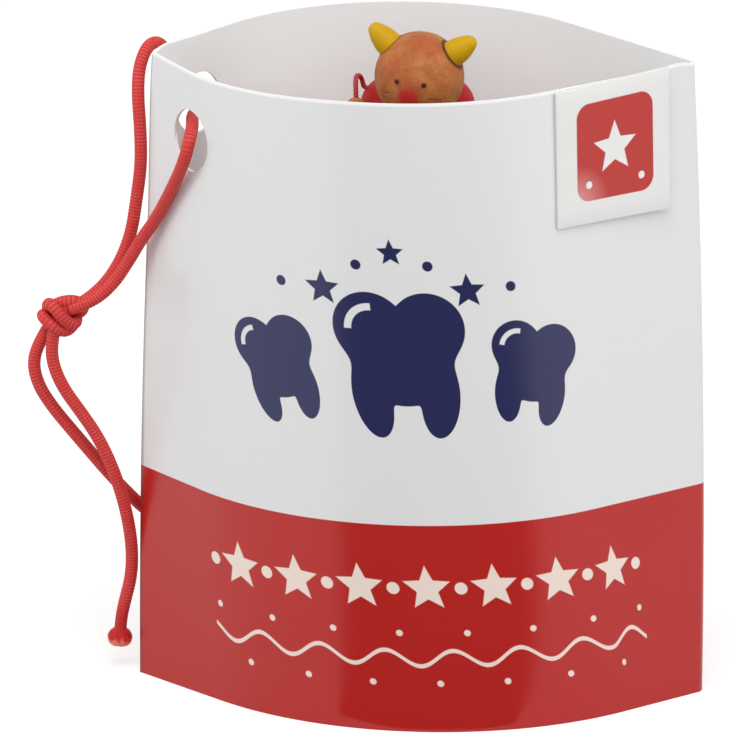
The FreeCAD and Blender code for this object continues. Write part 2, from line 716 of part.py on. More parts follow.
def cord_path(points):
    """Straight runs joined by tangent arcs, each as large as its two runs allow, and the arcs' radii."""
    ends, arcs, radii = [points[0]], [], []
    for before, corner, after in zip(points, points[1:], points[2:]):
        back, on = before - corner, after - corner
        half_turn = (math.pi - back.getAngle(on)) / 2
        setback = BEND_SHARE * min(back.Length, on.Length)
        start = corner + back.normalize() * setback
        end = corner + on.normalize() * setback
        radius = setback / math.tan(half_turn)
        toward = (start + end) * 0.5 - corner
        sagitta = radius / math.cos(half_turn) - radius
        middle = corner + toward.normalize() * sagitta
        arcs.append(Part.Arc(start, middle, end).toShape())
        radii.append(radius)
        ends += [start, end]
    ends.append(points[-1])
    runs = [Part.LineSegment(a, b).toShape() for a, b in zip(ends[::2], ends[1::2])]
    edges = [edge for pair in zip(runs, arcs) for edge in pair] + [runs[-1]]
    return Part.Wire(edges), radii


def hung(points):
    """Points of the hanging cord moved with its holes: across with them, and in height in proportion."""
    across = size("hole_inset") - size("rim_half_width") - ROUTE_HOLE.x
    rise = (size("sleeve_height") - size("hole_drop")) / ROUTE_HOLE.z
    return [V(point.x + across, point.y, point.z * rise) for point in points]


def make_cord(label, points, radius):
    """A round cord along its route, with its volume compared with section times length."""
    path, radii = cord_path(points)
    start = Part.Wire(Part.makeCircle(radius, points[0], points[1] - points[0]))
    tube = path.makePipeShell([start], True, False)
    cord = doc.addObject("Part::Feature", label)
    cord.Label = label
    cord.Shape = tube
    expected = math.pi * radius**2 * path.Length
    print(
        f"{label}: length {path.Length:.1f}, volume {tube.Volume / expected:.4f} of section times length,"
        f" tightest arc {min(radii):.2f}, arcs {[round(r, 1) for r in radii]}"
    )
    return cord


def ellipsoid(name, across, along, place):
    """A ball drawn out along its Z."""
    ball = doc.addObject("Part::Ellipsoid", name)
    bind(ball, Radius1=f"dims.{along}", Radius2=f"dims.{across}", Radius3=f"dims.{across}")
    ball.Placement = place
    return ball


def make_knot():
    """The overhand knot: a drawn-out core with the two leaning wraps that both strands make round it."""
    axis = Place(hung([KNOT_CENTRE])[0], Turn(V(0, 1, 0), KNOT_AXIS_LEAN))
    pieces = [ellipsoid("knot_middle", "knot_core", "knot_length", axis)]
    for name, side in (("knot_upper_wrap", 1), ("knot_lower_wrap", -1)):
        wrap = doc.addObject("Part::Torus", name)
        bind(wrap, Radius1="dims.knot_ring", Radius2="dims.cord_radius")
        lean = Turn(V(1, 0, 0), size("knot_lean"))
        wrap.Placement = axis * Place(V(0, 0, side * size("knot_step")), lean)
        pieces.append(wrap)
    knot = doc.addObject("Part::MultiFuse", "cord_knot")
    knot.Label = "cord_knot"
    knot.Shapes = pieces
    return knot


def make_melted_end(label, points):
    """The melted blob that closes a cord's end, in line with its last run."""
    along = (points[-1] - points[-2]).normalize()
    end = ellipsoid(label, "melt_radius", "melt_length", Place(points[-1], Turn(V(0, 0, 1), along)))
    end.Label = label
    return end


def main():
    cord = size("cord_radius")
    hang, front_tail, rear_tail = hung(HANG_ROUTE), hung(FRONT_TAIL_ROUTE), hung(REAR_TAIL_ROUTE)
    arms = arm_route()
    parts = [
        make_sleeve(),
        make_label(),
        make_cord("hang_cord", hang, cord),
        make_knot(),
        make_cord("front_tail", front_tail, cord),
        make_cord("rear_tail", rear_tail, cord),
        make_melted_end("front_tail_end", front_tail),
        make_melted_end("rear_tail_end", rear_tail),
        make_cup(),
        make_lid(),
        make_body(),
        *make_dowels(),
        make_head(),
        make_ear("left_ear", -1),
        make_ear("right_ear", 1),
        make_cord("arm_cord", arms, size("arm_radius")),
        make_hand("left_hand", arms[0], arms[1]),
        make_hand("right_hand", arms[-1], arms[-2]),
        make_foot("left_foot", -1),
        make_foot("right_foot", 1),
    ]
    doc.recompute()
    failed = [f"{o.Name} {o.State}" for o in doc.Objects if {"Invalid", "Error"} & set(o.State)]
    failed += [p.Label for p in parts if p.Shape.isNull() or not p.Shape.isValid() or not p.Shape.Solids]
    if failed:
        raise RuntimeError(f"these did not build: {failed}")
    os.makedirs("parts", exist_ok=True)
    for part in parts:
        part.Shape.exportStep(f"parts/{part.Label}.step")
        print(f"{part.Label}: {len(part.Shape.Solids)} solid, {part.Shape.Volume:.1f} mm3")


main()
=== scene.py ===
"""A wooden milk-tooth pot in its printed card sleeve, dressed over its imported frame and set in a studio."""

import math

import bmesh
import bpy
from bpy.props import FloatProperty, FloatVectorProperty, IntProperty, PointerProperty
from mathutils import Matrix, Vector, noise


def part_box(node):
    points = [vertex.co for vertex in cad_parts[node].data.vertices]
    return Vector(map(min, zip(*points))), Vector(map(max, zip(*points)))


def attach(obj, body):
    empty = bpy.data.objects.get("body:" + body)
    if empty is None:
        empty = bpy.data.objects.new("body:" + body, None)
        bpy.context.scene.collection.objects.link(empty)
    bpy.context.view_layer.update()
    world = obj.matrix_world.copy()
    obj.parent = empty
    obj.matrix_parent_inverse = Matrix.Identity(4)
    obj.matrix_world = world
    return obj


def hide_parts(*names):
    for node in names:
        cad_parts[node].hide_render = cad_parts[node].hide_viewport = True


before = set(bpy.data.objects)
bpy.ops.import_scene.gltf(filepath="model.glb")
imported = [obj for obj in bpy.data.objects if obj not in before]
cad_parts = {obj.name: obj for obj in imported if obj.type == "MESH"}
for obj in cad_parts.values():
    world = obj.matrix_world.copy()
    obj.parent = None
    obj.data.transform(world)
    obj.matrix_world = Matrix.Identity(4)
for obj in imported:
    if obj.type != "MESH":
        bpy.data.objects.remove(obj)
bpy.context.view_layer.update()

bl_info = {
    "name": "Milk-tooth pot in a card sleeve",
    "version": (1, 0, 0),
    "blender": (4, 5, 0),
    "location": "View3D > Sidebar > Tooth pot",
    "description": "Models the card sleeve, its cord and the wooden pot with its figure, piece by piece",
    "category": "Object",
}

MM = 0.001
FULL_TURN = 2 * math.pi
UP = Vector((0, 0, 1))
WELD = MM / 1000

# The sleeve's blank: faces along each stretch of the card and up it, and metres for one UV unit
STRAIGHT_STEPS = 12
BEND_STEPS = 44
FOLD_STEPS = 10
SLEEVE_ROWS = 60
BLANK_UNIT = 0.1
# The punch of its cord holes, and the label's cuts and softened edge
PUNCH_DEPTH = 6 * MM
PUNCH_SIDES = 72
LABEL_CUTS = 7
LABEL_EDGE = 0.05 * MM
# How far the softened rim reaches along the front and rear panels and down the card, in metres
SAG_REACH = {True: 0.030, False: 0.0012}
SAG_DEPTH = 0.005
SPREAD_REACH = 0.005
SPREAD_DEPTH = 0.025
# How far from the fold the lift of the front rim ends and is full, in metres
LIFT_REACH = 0.006
LIFT_FULL = 0.0014

# A tooth in units of half its height, as (across, up, radius): a cusp, the waist, a root and the light on
# its left cusp; then how narrow waist and root are, the root's slant in degrees, and the blends
TOOTH_CUSP = (0.36, 0.42, 0.46)
TOOTH_WAIST = (0.0, 0.02, 0.60)
TOOTH_ROOT = (0.42, -0.5, 0.5)
TOOTH_LIGHT = (-0.34, 0.4, 0.29)
WAIST_SQUEEZE = 0.95
ROOT_SQUEEZE = 2.1
ROOT_SLANT = -9
CUSP_BLEND = 0.2
ROOT_BLEND = 0.16
LIGHT_HALF = 0.045
LIGHT_END = 0.02
# The print in millimetres on the blank, from its lower left corner: teeth with half their height and
# their tilt in degrees, stars and dots with their radius
TEETH = ((46.0, 52.6, 10.8, 0), (28.4, 50.4, 7.6, 13), (63.6, 50.4, 7.6, -13))
STARS = ((36.2, 62.2, 2.5), (55.8, 62.2, 2.5), (46.0, 67.6, 1.9))
DOTS = ((41.2, 65.8, 0.7), (50.8, 65.8, 0.7), (30.2, 62.4, 0.7), (61.8, 62.4, 0.7))
# The band's ornament: its middle, half its width and its repeat, the height of its rows, and its sizes
BAND_MIDDLE = 45.4
BAND_HALF = 32.6
BAND_REPEAT = 9.0
STAR_ROW = 20.6
HIGH_BEAD_ROW = 14.2
WAVE_ROW = 10.6
LOW_BEAD_ROW = 7.0
BAND_STAR = 3.3
BAND_DOT = 0.85
BAND_BEAD = 0.45
WAVE_RISE = 1.1
WAVE_HALF = 0.3
# The soft edge of the print, and the reach and edge of the painted shade along the left side and of the
# bright rim
PRINT_EDGE = 0.07
EDGE_SHADE_REACH = 0.45
EDGE_SHADE_SOFTNESS = 0.3
RIM_REACH = 0.33
RIM_EDGE = 0.1
# The label in millimetres from its middle: its red square's shift, halves and corner, the corner where it
# pales and how far, its star's radius, and its two dots
SQUARE_SHIFT = 0.3
SQUARE_HALVES = (6.25, 6.55)
SQUARE_CORNER = 2.0
PALE_CORNER = (-6.5, -7.0)
PALE_REACH = (0.5, 5.5)
LABEL_STAR = 3.6
LABEL_DOT = (4.3, -4.4, 0.5)
# The painted face by longitude and latitude in degrees, with sizes in millimetres: flushes with reach and
# strength, nose and eye with radius; whiskers by height and tilt, and the width at each ear's foot of the
# dark joint ring, widened by painted shade
FLUSHES = ((-30, 22, 1.5, 0.45), (2, 0, 1.5, 0.5), (24, 62, 2.0, 0.35))
NOSE = (-1, -15.8, 1.35)
EYE = (17.9, 5.6, 0.36)
WHISKERS = ((-1.35, 10), (-2.1, -3), (-2.85, -16))
WHISKER_MIDDLE = 3.3
WHISKER_HALVES = (0.75, 0.08)
EAR_SHADE_RINGS = ((-1, 0.3), (1, 0.5))

# Second tones of the finishes, as seen on screen
COATED_FIBRE = (0.86, 0.87, 0.88)
BAND_CLOUD = (0.64, 0.07, 0.09)
# Painted shade along the card's left edge
EDGE_SHADE = (0.40, 0.22, 0.20)
RIM_WHITE = (0.99, 0.99, 0.99)
CARD_FIBRE = (0.84, 0.84, 0.83)
CARD_CLOUD = (0.88, 0.88, 0.87)
CUT_WHITE = (0.97, 0.97, 0.965)
LABEL_PALE = (0.95, 0.72, 0.70)
LABEL_WHITE = (0.915, 0.913, 0.905)
LABEL_BARE = (0.93, 0.925, 0.915)
# Painted shade between the arm thread's plies and a painted highlight on them
THREAD_SHADE = (0.52, 0.06, 0.10)
THREAD_HIGHLIGHT = (0.80, 0.24, 0.27)
STAIN_LIGHT = (0.82, 0.56, 0.34)
HEAD_LIGHT = (0.79, 0.53, 0.31)
HEAD_FLUSH = (0.68, 0.27, 0.19)
# Painted shade round the ears' joints
SOCKET_SHADE = (0.27, 0.11, 0.05)
BODY_DEEP = (0.60, 0.06, 0.07)
EAR_DEEP = (0.76, 0.56, 0.05)
FLOOR_PALE = (0.9, 0.9, 0.9)

# Cord routes in millimetres, the control points of each cord's smooth line
HANG_ROUTE = (
    (-47.3, -1.95, 51.45), (-44.3, -1.95, 52.5), (-41.4, -2.0, 55.2), (-39.25, -2.2, 58.7),
    (-37.5, -3.1, 62.0), (-35.5, -5.0, 65.2), (-33.6, -7.5, 69.2), (-31.9, -10.7, 73.2),
    (-30.75, -13.0, 76.4), (-30.2, -12.7, 78.8), (-30.1, -9.4, 79.8), (-30.65, -4.4, 79.6),
    (-30.4, 2.0, 78.9), (-30.4, 7.4, 78.5), (-32.9, 10.7, 79.3), (-35.0, 9.8, 83.4),
    (-36.1, 7.6, 86.3), (-37.4, 4.6, 86.7), (-38.35, 2.3, 84.4), (-38.4, 0.7, 81.0),
    (-37.95, -0.1, 76.2), (-37.85, -0.2, 71.4), (-38.5, 0.0, 66.5), (-39.25, 0.0, 61.4),
    (-41.1, 0.0, 56.8), (-43.9, -0.05, 53.1), (-46.6, -0.1, 51.3),
)
FRONT_TAIL_ROUTE = (
    (-49.3, -2.0, 48.9), (-49.85, -2.0, 46.2), (-49.45, -2.0, 43.2), (-48.1, -2.0, 40.2),
    (-45.95, -2.0, 37.2), (-43.7, -2.05, 33.9), (-41.95, -2.1, 30.3), (-40.6, -1.75, 26.3),
    (-39.6, -1.05, 21.8), (-39.1, -0.3, 17.2), (-39.3, 0.2, 13.2), (-40.2, 0.4, 9.6),
    (-40.75, 0.4, 6.9), (-40.85, 0.35, 4.6),
)
REAR_TAIL_ROUTE = (
    (-50.0, -0.2, 48.9), (-51.45, -0.2, 46.5), (-52.5, -0.2, 43.4), (-51.8, -0.1, 40.1),
    (-49.8, 0.0, 36.9), (-47.3, 0.1, 33.8), (-44.7, 0.3, 30.6), (-42.2, 0.8, 27.4),
    (-39.9, 1.9, 24.5), (-37.9, 3.6, 21.8), (-35.8, 5.6, 19.6), (-33.4, 7.6, 18.2),
)
# The arms' route, from the middle of the body's arm hole and with X along that hole
ARM_ROUTE = (
    (-7.75, -4.8, -1.25), (-8.0, -4.5, 0.1), (-8.35, -3.7, 1.5), (-8.5, -2.2, 2.2),
    (-7.95, -0.65, 1.7), (-7.55, -0.1, 0.75), (-7.3, 0.0, -0.01), (-5.1, 0.0, 0.01),
    (-0.9, 0.0, -0.01), (3.3, 0.0, 0.01), (5.9, 0.0, -0.01), (8.6, 0.0, 0.0), (9.9, -0.2, -0.8),
    (10.75, -0.9, -2.8), (11.2, -1.6, -5.6), (11.6, -1.6, -8.2),
)
LINE_STEPS = 72
KNOT_LINE_STEPS = 36
ARM_LINE_STEPS = 24

# The knot's strands from its centre, in millimetres: the upper loop, the loop across the front, the lower
# loop, both strands that enter from the holes, and the strands inside
KNOT_CENTRE = (-48.6, -1.05, 50.2)
KNOT_STRANDS = (
    (
        (-0.4, 0.5, 0.6), (-0.75, 0.1, 1.5), (0.25, -0.5, 2.1), (1.65, -0.7, 2.4),
        (2.85, -0.2, 1.9), (2.95, 0.9, 0.5), (1.8, 1.2, -0.1),
    ),
    (
        (-0.95, 1.1, 0.1), (-1.9, 0.5, 0.9), (-1.45, -0.9, 2.1), (-0.35, -1.7, 1.25),
        (0.6, -1.6, 0.0), (1.65, -1.0, -1.0), (2.25, 0.2, -0.6), (1.7, 1.1, 0.0),
    ),
    (
        (-1.3, 1.0, -0.5), (-2.5, 0.3, 0.2), (-2.15, -0.9, -0.1), (-1.05, -1.5, -0.85),
        (0.15, -1.1, -1.8), (1.2, -0.4, -1.8), (1.6, 0.7, -1.35),
    ),
    ((2.0, 0.95, 1.1), (1.2, 0.3, 0.8), (0.7, -0.35, 0.95), (-0.15, 0.1, 0.5)),
    ((1.3, -0.9, 1.25), (0.75, -0.75, 1.0), (0.35, -0.3, 0.6), (-0.3, 0.3, 0.1)),
    ((1.1, 0.7, 0.9), (0.0, 0.6, 0.0), (-1.1, 0.5, -0.9)),
    ((1.1, -0.4, 0.6), (0.0, -0.6, -0.1), (-1.1, -0.4, -0.9)),
)

# A stitch: the slant of its two legs, how round it is, and how deep the groove beside its column is
STITCH_SLANT = 0.5
STITCH_ROUND = 0.6
STITCH_GROOVE = 0.2
# Length of a tail, in metres, that the heat of its melted end reached, the length over which it closed
# up, and the height of its stitches there
SINGED = 0.0055
SINGE_BLEND = 0.003
SINGED_HEIGHT = 0.3
# A melted end: how square its far and near sides are, its taper towards the cord, its fill of the solid
# across and along, and its lumps and rags as (depth, scale, shift from end to end)
MELT_SQUARE = {True: 3.2, False: 2.5}
MELT_TAPER = 0.28
MELT_FILL = (1.01, 0.96)
MELT_LUMPS = (0.05, 2.2, 900)
MELT_RAGS = (0.09, 4.5, 700)
RAGGED_FROM = 0.2
# The arm thread's relief, sides, plies and pitch
THREAD_RELIEF = 0.04 * MM
THREAD_SIDES = 20
THREAD_PLIES = 3
THREAD_PITCH = 1.5 * MM

# Faces round the pot, round an ear, and along each arc of an ear
POT_STEPS = 128
EAR_STEPS = 64
EAR_ARC_STEPS = 8
# Clearances of what is glued, seated or threaded, the dowels' holes, and how far a cutter stands out
GLUED_GAP = 0.04 * MM
SEAT_GAP = 0.03 * MM
THREAD_GAP = 0.12 * MM
DOWEL_HOLE = 2.04 * MM
DOWEL_DEPTH = 6.2 * MM
NECK_HOLE = 1.24 * MM
NECK_DEPTH = 3.4 * MM
HAND_BORE_FLOOR = 0.1 * MM
FOOT_EDGE = 0.15 * MM
OVERCUT = 2 * MM

# The stage in metres: half the floor's side, the card that only reflections see, what the lights aim at,
# and each light's size and place
FLOOR_REACH = 3.0
FLAG_CORNERS = ((-0.011, -0.0225), (0.0144, -0.02), (0.33, -0.27), (0.33, -0.7), (-0.39, -0.7))
FLAG_HEIGHT = 0.0004
LIT_POINT = Vector((0, 0, 0.05))
KEY_SIZE = 1.1
KEY_PLACE = (0.05, -0.76, 1.26)
SIDE_SIZE = 0.7
SIDE_PLACE = (1.1, -0.3, 0.55)
SENSOR_WIDTH = 36


def length(name, millimetres, description):
    return FloatProperty(
        name=name, description=description, default=millimetres * MM, unit="LENGTH", precision=5
    )


def angle(name, degrees, description):
    return FloatProperty(
        name=name, description=description, default=math.radians(degrees), subtype="ANGLE"
    )


def share(name, value, description):
    return FloatProperty(
        name=name, description=description, default=value, min=0, max=1, subtype="FACTOR"
    )


def power(name, watts, description):
    return FloatProperty(name=name, description=description, default=watts, unit="POWER")


def paint(name, red, green, blue, description):
    return FloatVectorProperty(
        name=name,
        description=description,
        default=(red / 255, green / 255, blue / 255),
        subtype="COLOR_GAMMA",
        size=3,
        min=0,
        max=1,
    )


def level_lengths(name, millimetres, description):
    """A length at the sleeve's foot, waist and rim."""
    lengths = [value * MM for value in millimetres]
    return FloatVectorProperty(
        name=name, description=description, default=lengths, size=3, unit="LENGTH"
    )


def level_angles(name, degrees, description):
    """An angle at the sleeve's foot, waist and rim."""
    angles = [math.radians(value) for value in degrees]
    return FloatVectorProperty(
        name=name, description=description, default=angles, size=3, unit="ROTATION"
    )


class SleeveSettings(bpy.types.PropertyGroup):
    """The card sleeve and its label."""

    height: length("Height", 88, "Foot to rim")
    card: length("Card", 0.45, "Thickness of the card")
    seam_depth: length("Seam depth", -1.05, "Depth of the plane that holds both side edges")
    fold_radius: length("Fold", 1.5, "Outside radius of the right fold")
    half_width: level_lengths("Half width", (38, 37.55, 35.8), "Half the sleeve's width")
    front_left_lean: level_angles("Front left", (41, 50.6, 60.2), "Front panel at the left edge")
    front_right_lean: level_angles("Front right", (42.4, 40.9, 39.4), "Front panel at the fold")
    front_bend: level_lengths("Front bend", (40.5, 36.7, 32.9), "Radius of the front panel's bend")
    rear_left_lean: level_angles("Rear left", (43, 48.9, 54.7), "Rear panel at the left edge")
    rear_right_lean: level_angles("Rear right", (43, 43.1, 43.3), "Rear panel at the fold")
    rear_bend: level_lengths("Rear bend", (38, 34, 30.1), "Radius of the rear panel's bend")
    hole_radius: length("Hole radius", 4.2, "Punched cord holes")
    hole_across: length("Front hole", -30.4, "Place of the front hole across the sleeve")
    hole_height: length("Front hole height", 78.05, "Height of the front hole")
    rear_hole_across: length("Rear hole", -31, "Place of the rear hole across the sleeve")
    rear_hole_height: length("Rear hole height", 78.5, "Height of the rear hole")
    sag: length("Sag", 0.7, "Sink of the rim at its soft left corner")
    spread: length("Spread", 0.5, "Bulge of that corner to the left")
    fold_lift: length("Fold lift", 0.5, "Rise of the front rim beside its fold")
    label_size: length("Label", 18.5, "Side of the square label")
    label_paper: length("Label paper", 0.35, "Thickness of the label")
    label_lift: length("Label lift", 0.3, "Glue line under the label")
    label_share: share("Label share", 0.97, "Width of the label by its height")
    label_skew: length("Label skew", 0.85, "Rise of the label's upper right corner")
    label_press: length("Label press", 0.2, "How far the label's left side is pressed down")
    label_curl: length("Label curl", 0.45, "How far its right side is lifted")
    label_across: length("Label across", 25.35, "Place of the label across the sleeve")
    label_height: length("Label height", 78.5, "Height of the label's middle")
    band_height: length("Band height", 29.55, "Top of the printed band")
    white: paint("Card white", 231, 231, 231, "Coated side of the card")
    inside: paint("Card inside", 249, 253, 253, "Uncoated side of the card")
    band: paint("Band red", 188, 36, 31, "Printed band")
    ink: paint("Blue ink", 43, 45, 88, "Printed teeth and stars")
    ornament: paint("Band ornament", 244, 226, 214, "Ornament on the band")
    label_red: paint("Label red", 188, 40, 32, "Printed square on the label")


class CordSettings(bpy.types.PropertyGroup):
    """The braided elastic cord and its knot."""

    radius: length("Radius", 0.86, "Braided elastic cord")
    relief: length("Relief", 0.045, "Depth between the stitches")
    pitch: length("Pitch", 0.46, "Length of one stitch along the cord")
    columns: IntProperty(name="Columns", description="Stitches round the cord", default=9, min=3)
    sides: IntProperty(name="Sides", description="Points round the cord", default=45, min=12)
    melt_radius: length("Melted end radius", 1.64, "Half width of a melted end")
    melt_length: length("Melted end length", 1.35, "Half length of a melted end")
    yarn: paint("Yarn", 202, 50, 48, "Top of a stitch")
    # The next two are a painted highlight on the top of a stitch and painted shade between the stitches
    yarn_highlight: paint("Yarn light", 228, 86, 82, "Worn top of a stitch")
    yarn_shaded: paint("Yarn deep", 176, 38, 39, "Between the stitches")
    # The next is the pale of thin melt together with painted light on the tip side of a melted end
    melt_pale_lit: paint("Melt pale", 252, 136, 122, "Thin edge of a melted end")
    melt_deep: paint("Melt deep", 180, 30, 36, "Thick of a melted end")


class PotSettings(bpy.types.PropertyGroup):
    """The turned pot and its lid."""

    axis_y: length("Axis depth", -0.3, "Depth of the pot's axis")
    radius: length("Radius", 20, "Outside of pot and lid")
    height: length("Height", 40, "Pot without its lid")
    floor: length("Floor", 5, "Thickness of the pot's floor")
    hollow: length("Hollow", 15.5, "Radius of the hollow")
    foot_round: length("Foot round", 1.6, "Round at the pot's foot")
    hollow_round: length("Hollow round", 3, "Round between the hollow's floor and wall")
    rim_round: length("Rim round", 0.6, "Rounds at the pot's mouth")
    lid_seat: length("Lid seat", 40.05, "Height of the lid's underside")
    lid_height: length("Lid height", 10, "Lid above its seat")
    lid_top_round: length("Lid top round", 3.5, "Round at the lid's top")
    lid_edge_round: length("Lid edge round", 0.6, "Round at the lid's underside")
    spigot_radius: length("Spigot radius", 15.42, "Spigot in the hollow")
    spigot_height: length("Spigot height", 6, "Depth of the spigot")
    spigot_round: length("Spigot round", 0.8, "Round at the spigot's end")
    wood: paint("Wood", 226, 196, 152, "Bare wood")
    grain: paint("Grain", 188, 146, 98, "Darker grain")


class FigureSettings(bpy.types.PropertyGroup):
    """The animal figure on the lid."""

    across: length("Across", -1.2, "Place of the figure across the lid")
    depth: length("Depth", 3.27, "Place of the body in depth")
    foot_height: length("Foot height", 50.05, "Top of the lid")
    body_height: length("Body height", 33.1, "Height of the body")
    body_foot: length("Body foot", 9.5, "Radius of the body's foot")
    body_top: length("Body top", 7.4, "Radius of the shoulders")
    foot_round: length("Foot round", 2.5, "Round at the body's foot")
    shoulder: length("Shoulder", 3.4, "Round of the shoulders")
    head_radius: length("Head", 5.95, "Radius of the ball head")
    head_yaw: angle("Head turn", -8.4, "Turn of the head to the left")
    head_roll: angle("Head tilt", 4.2, "Tilt of the head to the right")
    neck_tilt: angle("Neck tilt", 37.75, "Lean of the neck towards the front")
    neck_lean: angle("Neck lean", 7.6, "Lean of the neck to the right")
    ear_splay: angle("Ear splay", 49, "Angle of an ear from the head's top")
    ear_base: length("Ear base", 1.8, "Radius of an ear at its foot")
    ear_tip: length("Ear tip", 1.05, "Radius of an ear's rounded tip")
    ear_length: length("Ear length", 4.55, "Ear from its socket")
    ear_shank: length("Ear shank", 0.8, "Straight foot of an ear in its socket")
    ear_socket: length("Ear socket", 4.8, "Socket's floor from the head's centre")
    arm_drop: length("Arm drop", 2.36, "Middle of the arm hole below the body's top")
    arm_slope: angle("Arm slope", 9, "Slope of the arm hole down to the right")
    arm_radius: length("Arm radius", 0.34, "Thread of the arms")
    hand_radius: length("Hand", 1.35, "Hand beads")
    foot_radius: length("Foot", 4, "Foot beads")
    foot_flat: length("Foot flat", 1, "Flat under a foot bead")
    stain: paint("Stain", 178, 104, 52, "Stained wood of head, hands and feet")
    stain_deep: paint("Deep stain", 146, 70, 38, "Stain where the wood soaked it up")
    body_red: paint("Body red", 186, 22, 24, "Lacquer of the body")
    ear_yellow: paint("Ear yellow", 210, 168, 16, "Lacquer of the ears")
    eye: paint("Eye", 62, 24, 26, "Painted eyes and whiskers")
    nose: paint("Nose", 200, 44, 40, "Painted nose")
    thread: paint("Thread", 180, 34, 46, "Thread of the arms")


class StageSettings(bpy.types.PropertyGroup):
    """Camera, lights and floor."""

    azimuth: angle("Azimuth", 4.508, "Camera round the object, from the front to the right")
    elevation: angle("Elevation", 18, "Camera above the horizon")
    roll: angle("Roll", 0.275, "Turn of the camera about its line of sight")
    distance: length("Distance", 1600, "Camera from its target")
    target_y: length("Target depth", -1.05, "Depth of the target")
    target_z: length("Target height", 44, "Height of the target")
    slide_right: length("Slide right", -7.3, "Camera and target moved to the right")
    slide_up: length("Slide up", 0.28, "Camera and target moved up")
    lens: FloatProperty(name="Lens", description="Focal length", default=585.4, unit="CAMERA")
    floor: paint("Floor", 200, 200, 200, "What the floor sends back of the light on it")
    floor_glow: share("Floor glow", 0.56, "What makes up the floor's white in view")
    world_level: share("World", 0.45, "Level of the even light all round")
    key_power: power("Key", 10.8, "Power of the high light")
    side_power: power("Sides", 4.0, "Power of a side light")


class ToothPotSettings(bpy.types.PropertyGroup):
    """All sizes and colours of the tooth pot."""

    sleeve: PointerProperty(type=SleeveSettings)
    cord: PointerProperty(type=CordSettings)
    pot: PointerProperty(type=PotSettings)
    figure: PointerProperty(type=FigureSettings)
    stage: PointerProperty(type=StageSettings)


def linear(colour):
    """A colour as the shaders take it, from its value on screen."""
    return tuple(c / 12.92 if c <= 0.04045 else ((c + 0.055) / 1.055) ** 2.4 for c in colour)


class Field:
    """A number that varies over a surface, for writing a pattern as a formula."""

    def __init__(self, tree, socket):
        self.tree = tree
        self.socket = socket

    def math(self, operation, *others):
        node = self.tree.nodes.new("ShaderNodeMath")
        node.operation = operation
        for socket, value in zip(node.inputs, (self, *others)):
            if isinstance(value, Field):
                self.tree.links.new(value.socket, socket)
            else:
                socket.default_value = value
        return Field(self.tree, node.outputs[0])

    def __add__(self, other):
        return self.math("ADD", other)

    def __sub__(self, other):
        return self.math("SUBTRACT", other)

    def __mul__(self, other):
        return self.math("MULTIPLY", other)

    def __truediv__(self, other):
        return self.math("DIVIDE", other)

    def __neg__(self):
        return self.math("MULTIPLY", -1)

    def __abs__(self):
        return self.math("ABSOLUTE")

    def lower(self, other):
        return self.math("MINIMUM", other)

    def higher(self, other):
        return self.math("MAXIMUM", other)

    def merged(self, other, blend):
        """The lower of two fields, with a smooth step between them."""
        return self.math("SMOOTH_MIN", other, blend)

    def wrapped(self, period):
        """The field folded into one period about zero."""
        half = period / 2
        return self.math("WRAP", half, -half)

    def ranged(self, low, high, start=0.0, end=1.0, kind="LINEAR"):
        """The field's range from start to end as numbers from low to high."""
        node = self.tree.nodes.new("ShaderNodeMapRange")
        node.interpolation_type = kind
        self.tree.links.new(self.socket, node.inputs["Value"])
        for name, value in zip(("From Min", "From Max", "To Min", "To Max"), (start, end, low, high)):
            node.inputs[name].default_value = value
        return Field(self.tree, node.outputs[0])

    def inside(self, soft):
        """1 where the field is below zero and 0 above, with a soft edge."""
        return self.ranged(1, 0, -soft, soft, "SMOOTHSTEP")


def distance(*gaps):
    """How far a point is from another, from the gaps between them along each axis."""
    square = gaps[0] * gaps[0]
    for gap in gaps[1:]:
        square = square + gap * gap
    return square.math("SQRT")


def turned_fields(across, up, degrees):
    """Both coordinates seen from axes turned by some degrees."""
    cosine, sine = math.cos(math.radians(degrees)), math.sin(math.radians(degrees))
    return across * cosine + up * sine, up * cosine - across * sine


def any_of(shapes):
    """Below zero inside any of some shapes."""
    whole, *others = shapes
    for shape in others:
        whole = whole.lower(shape)
    return whole


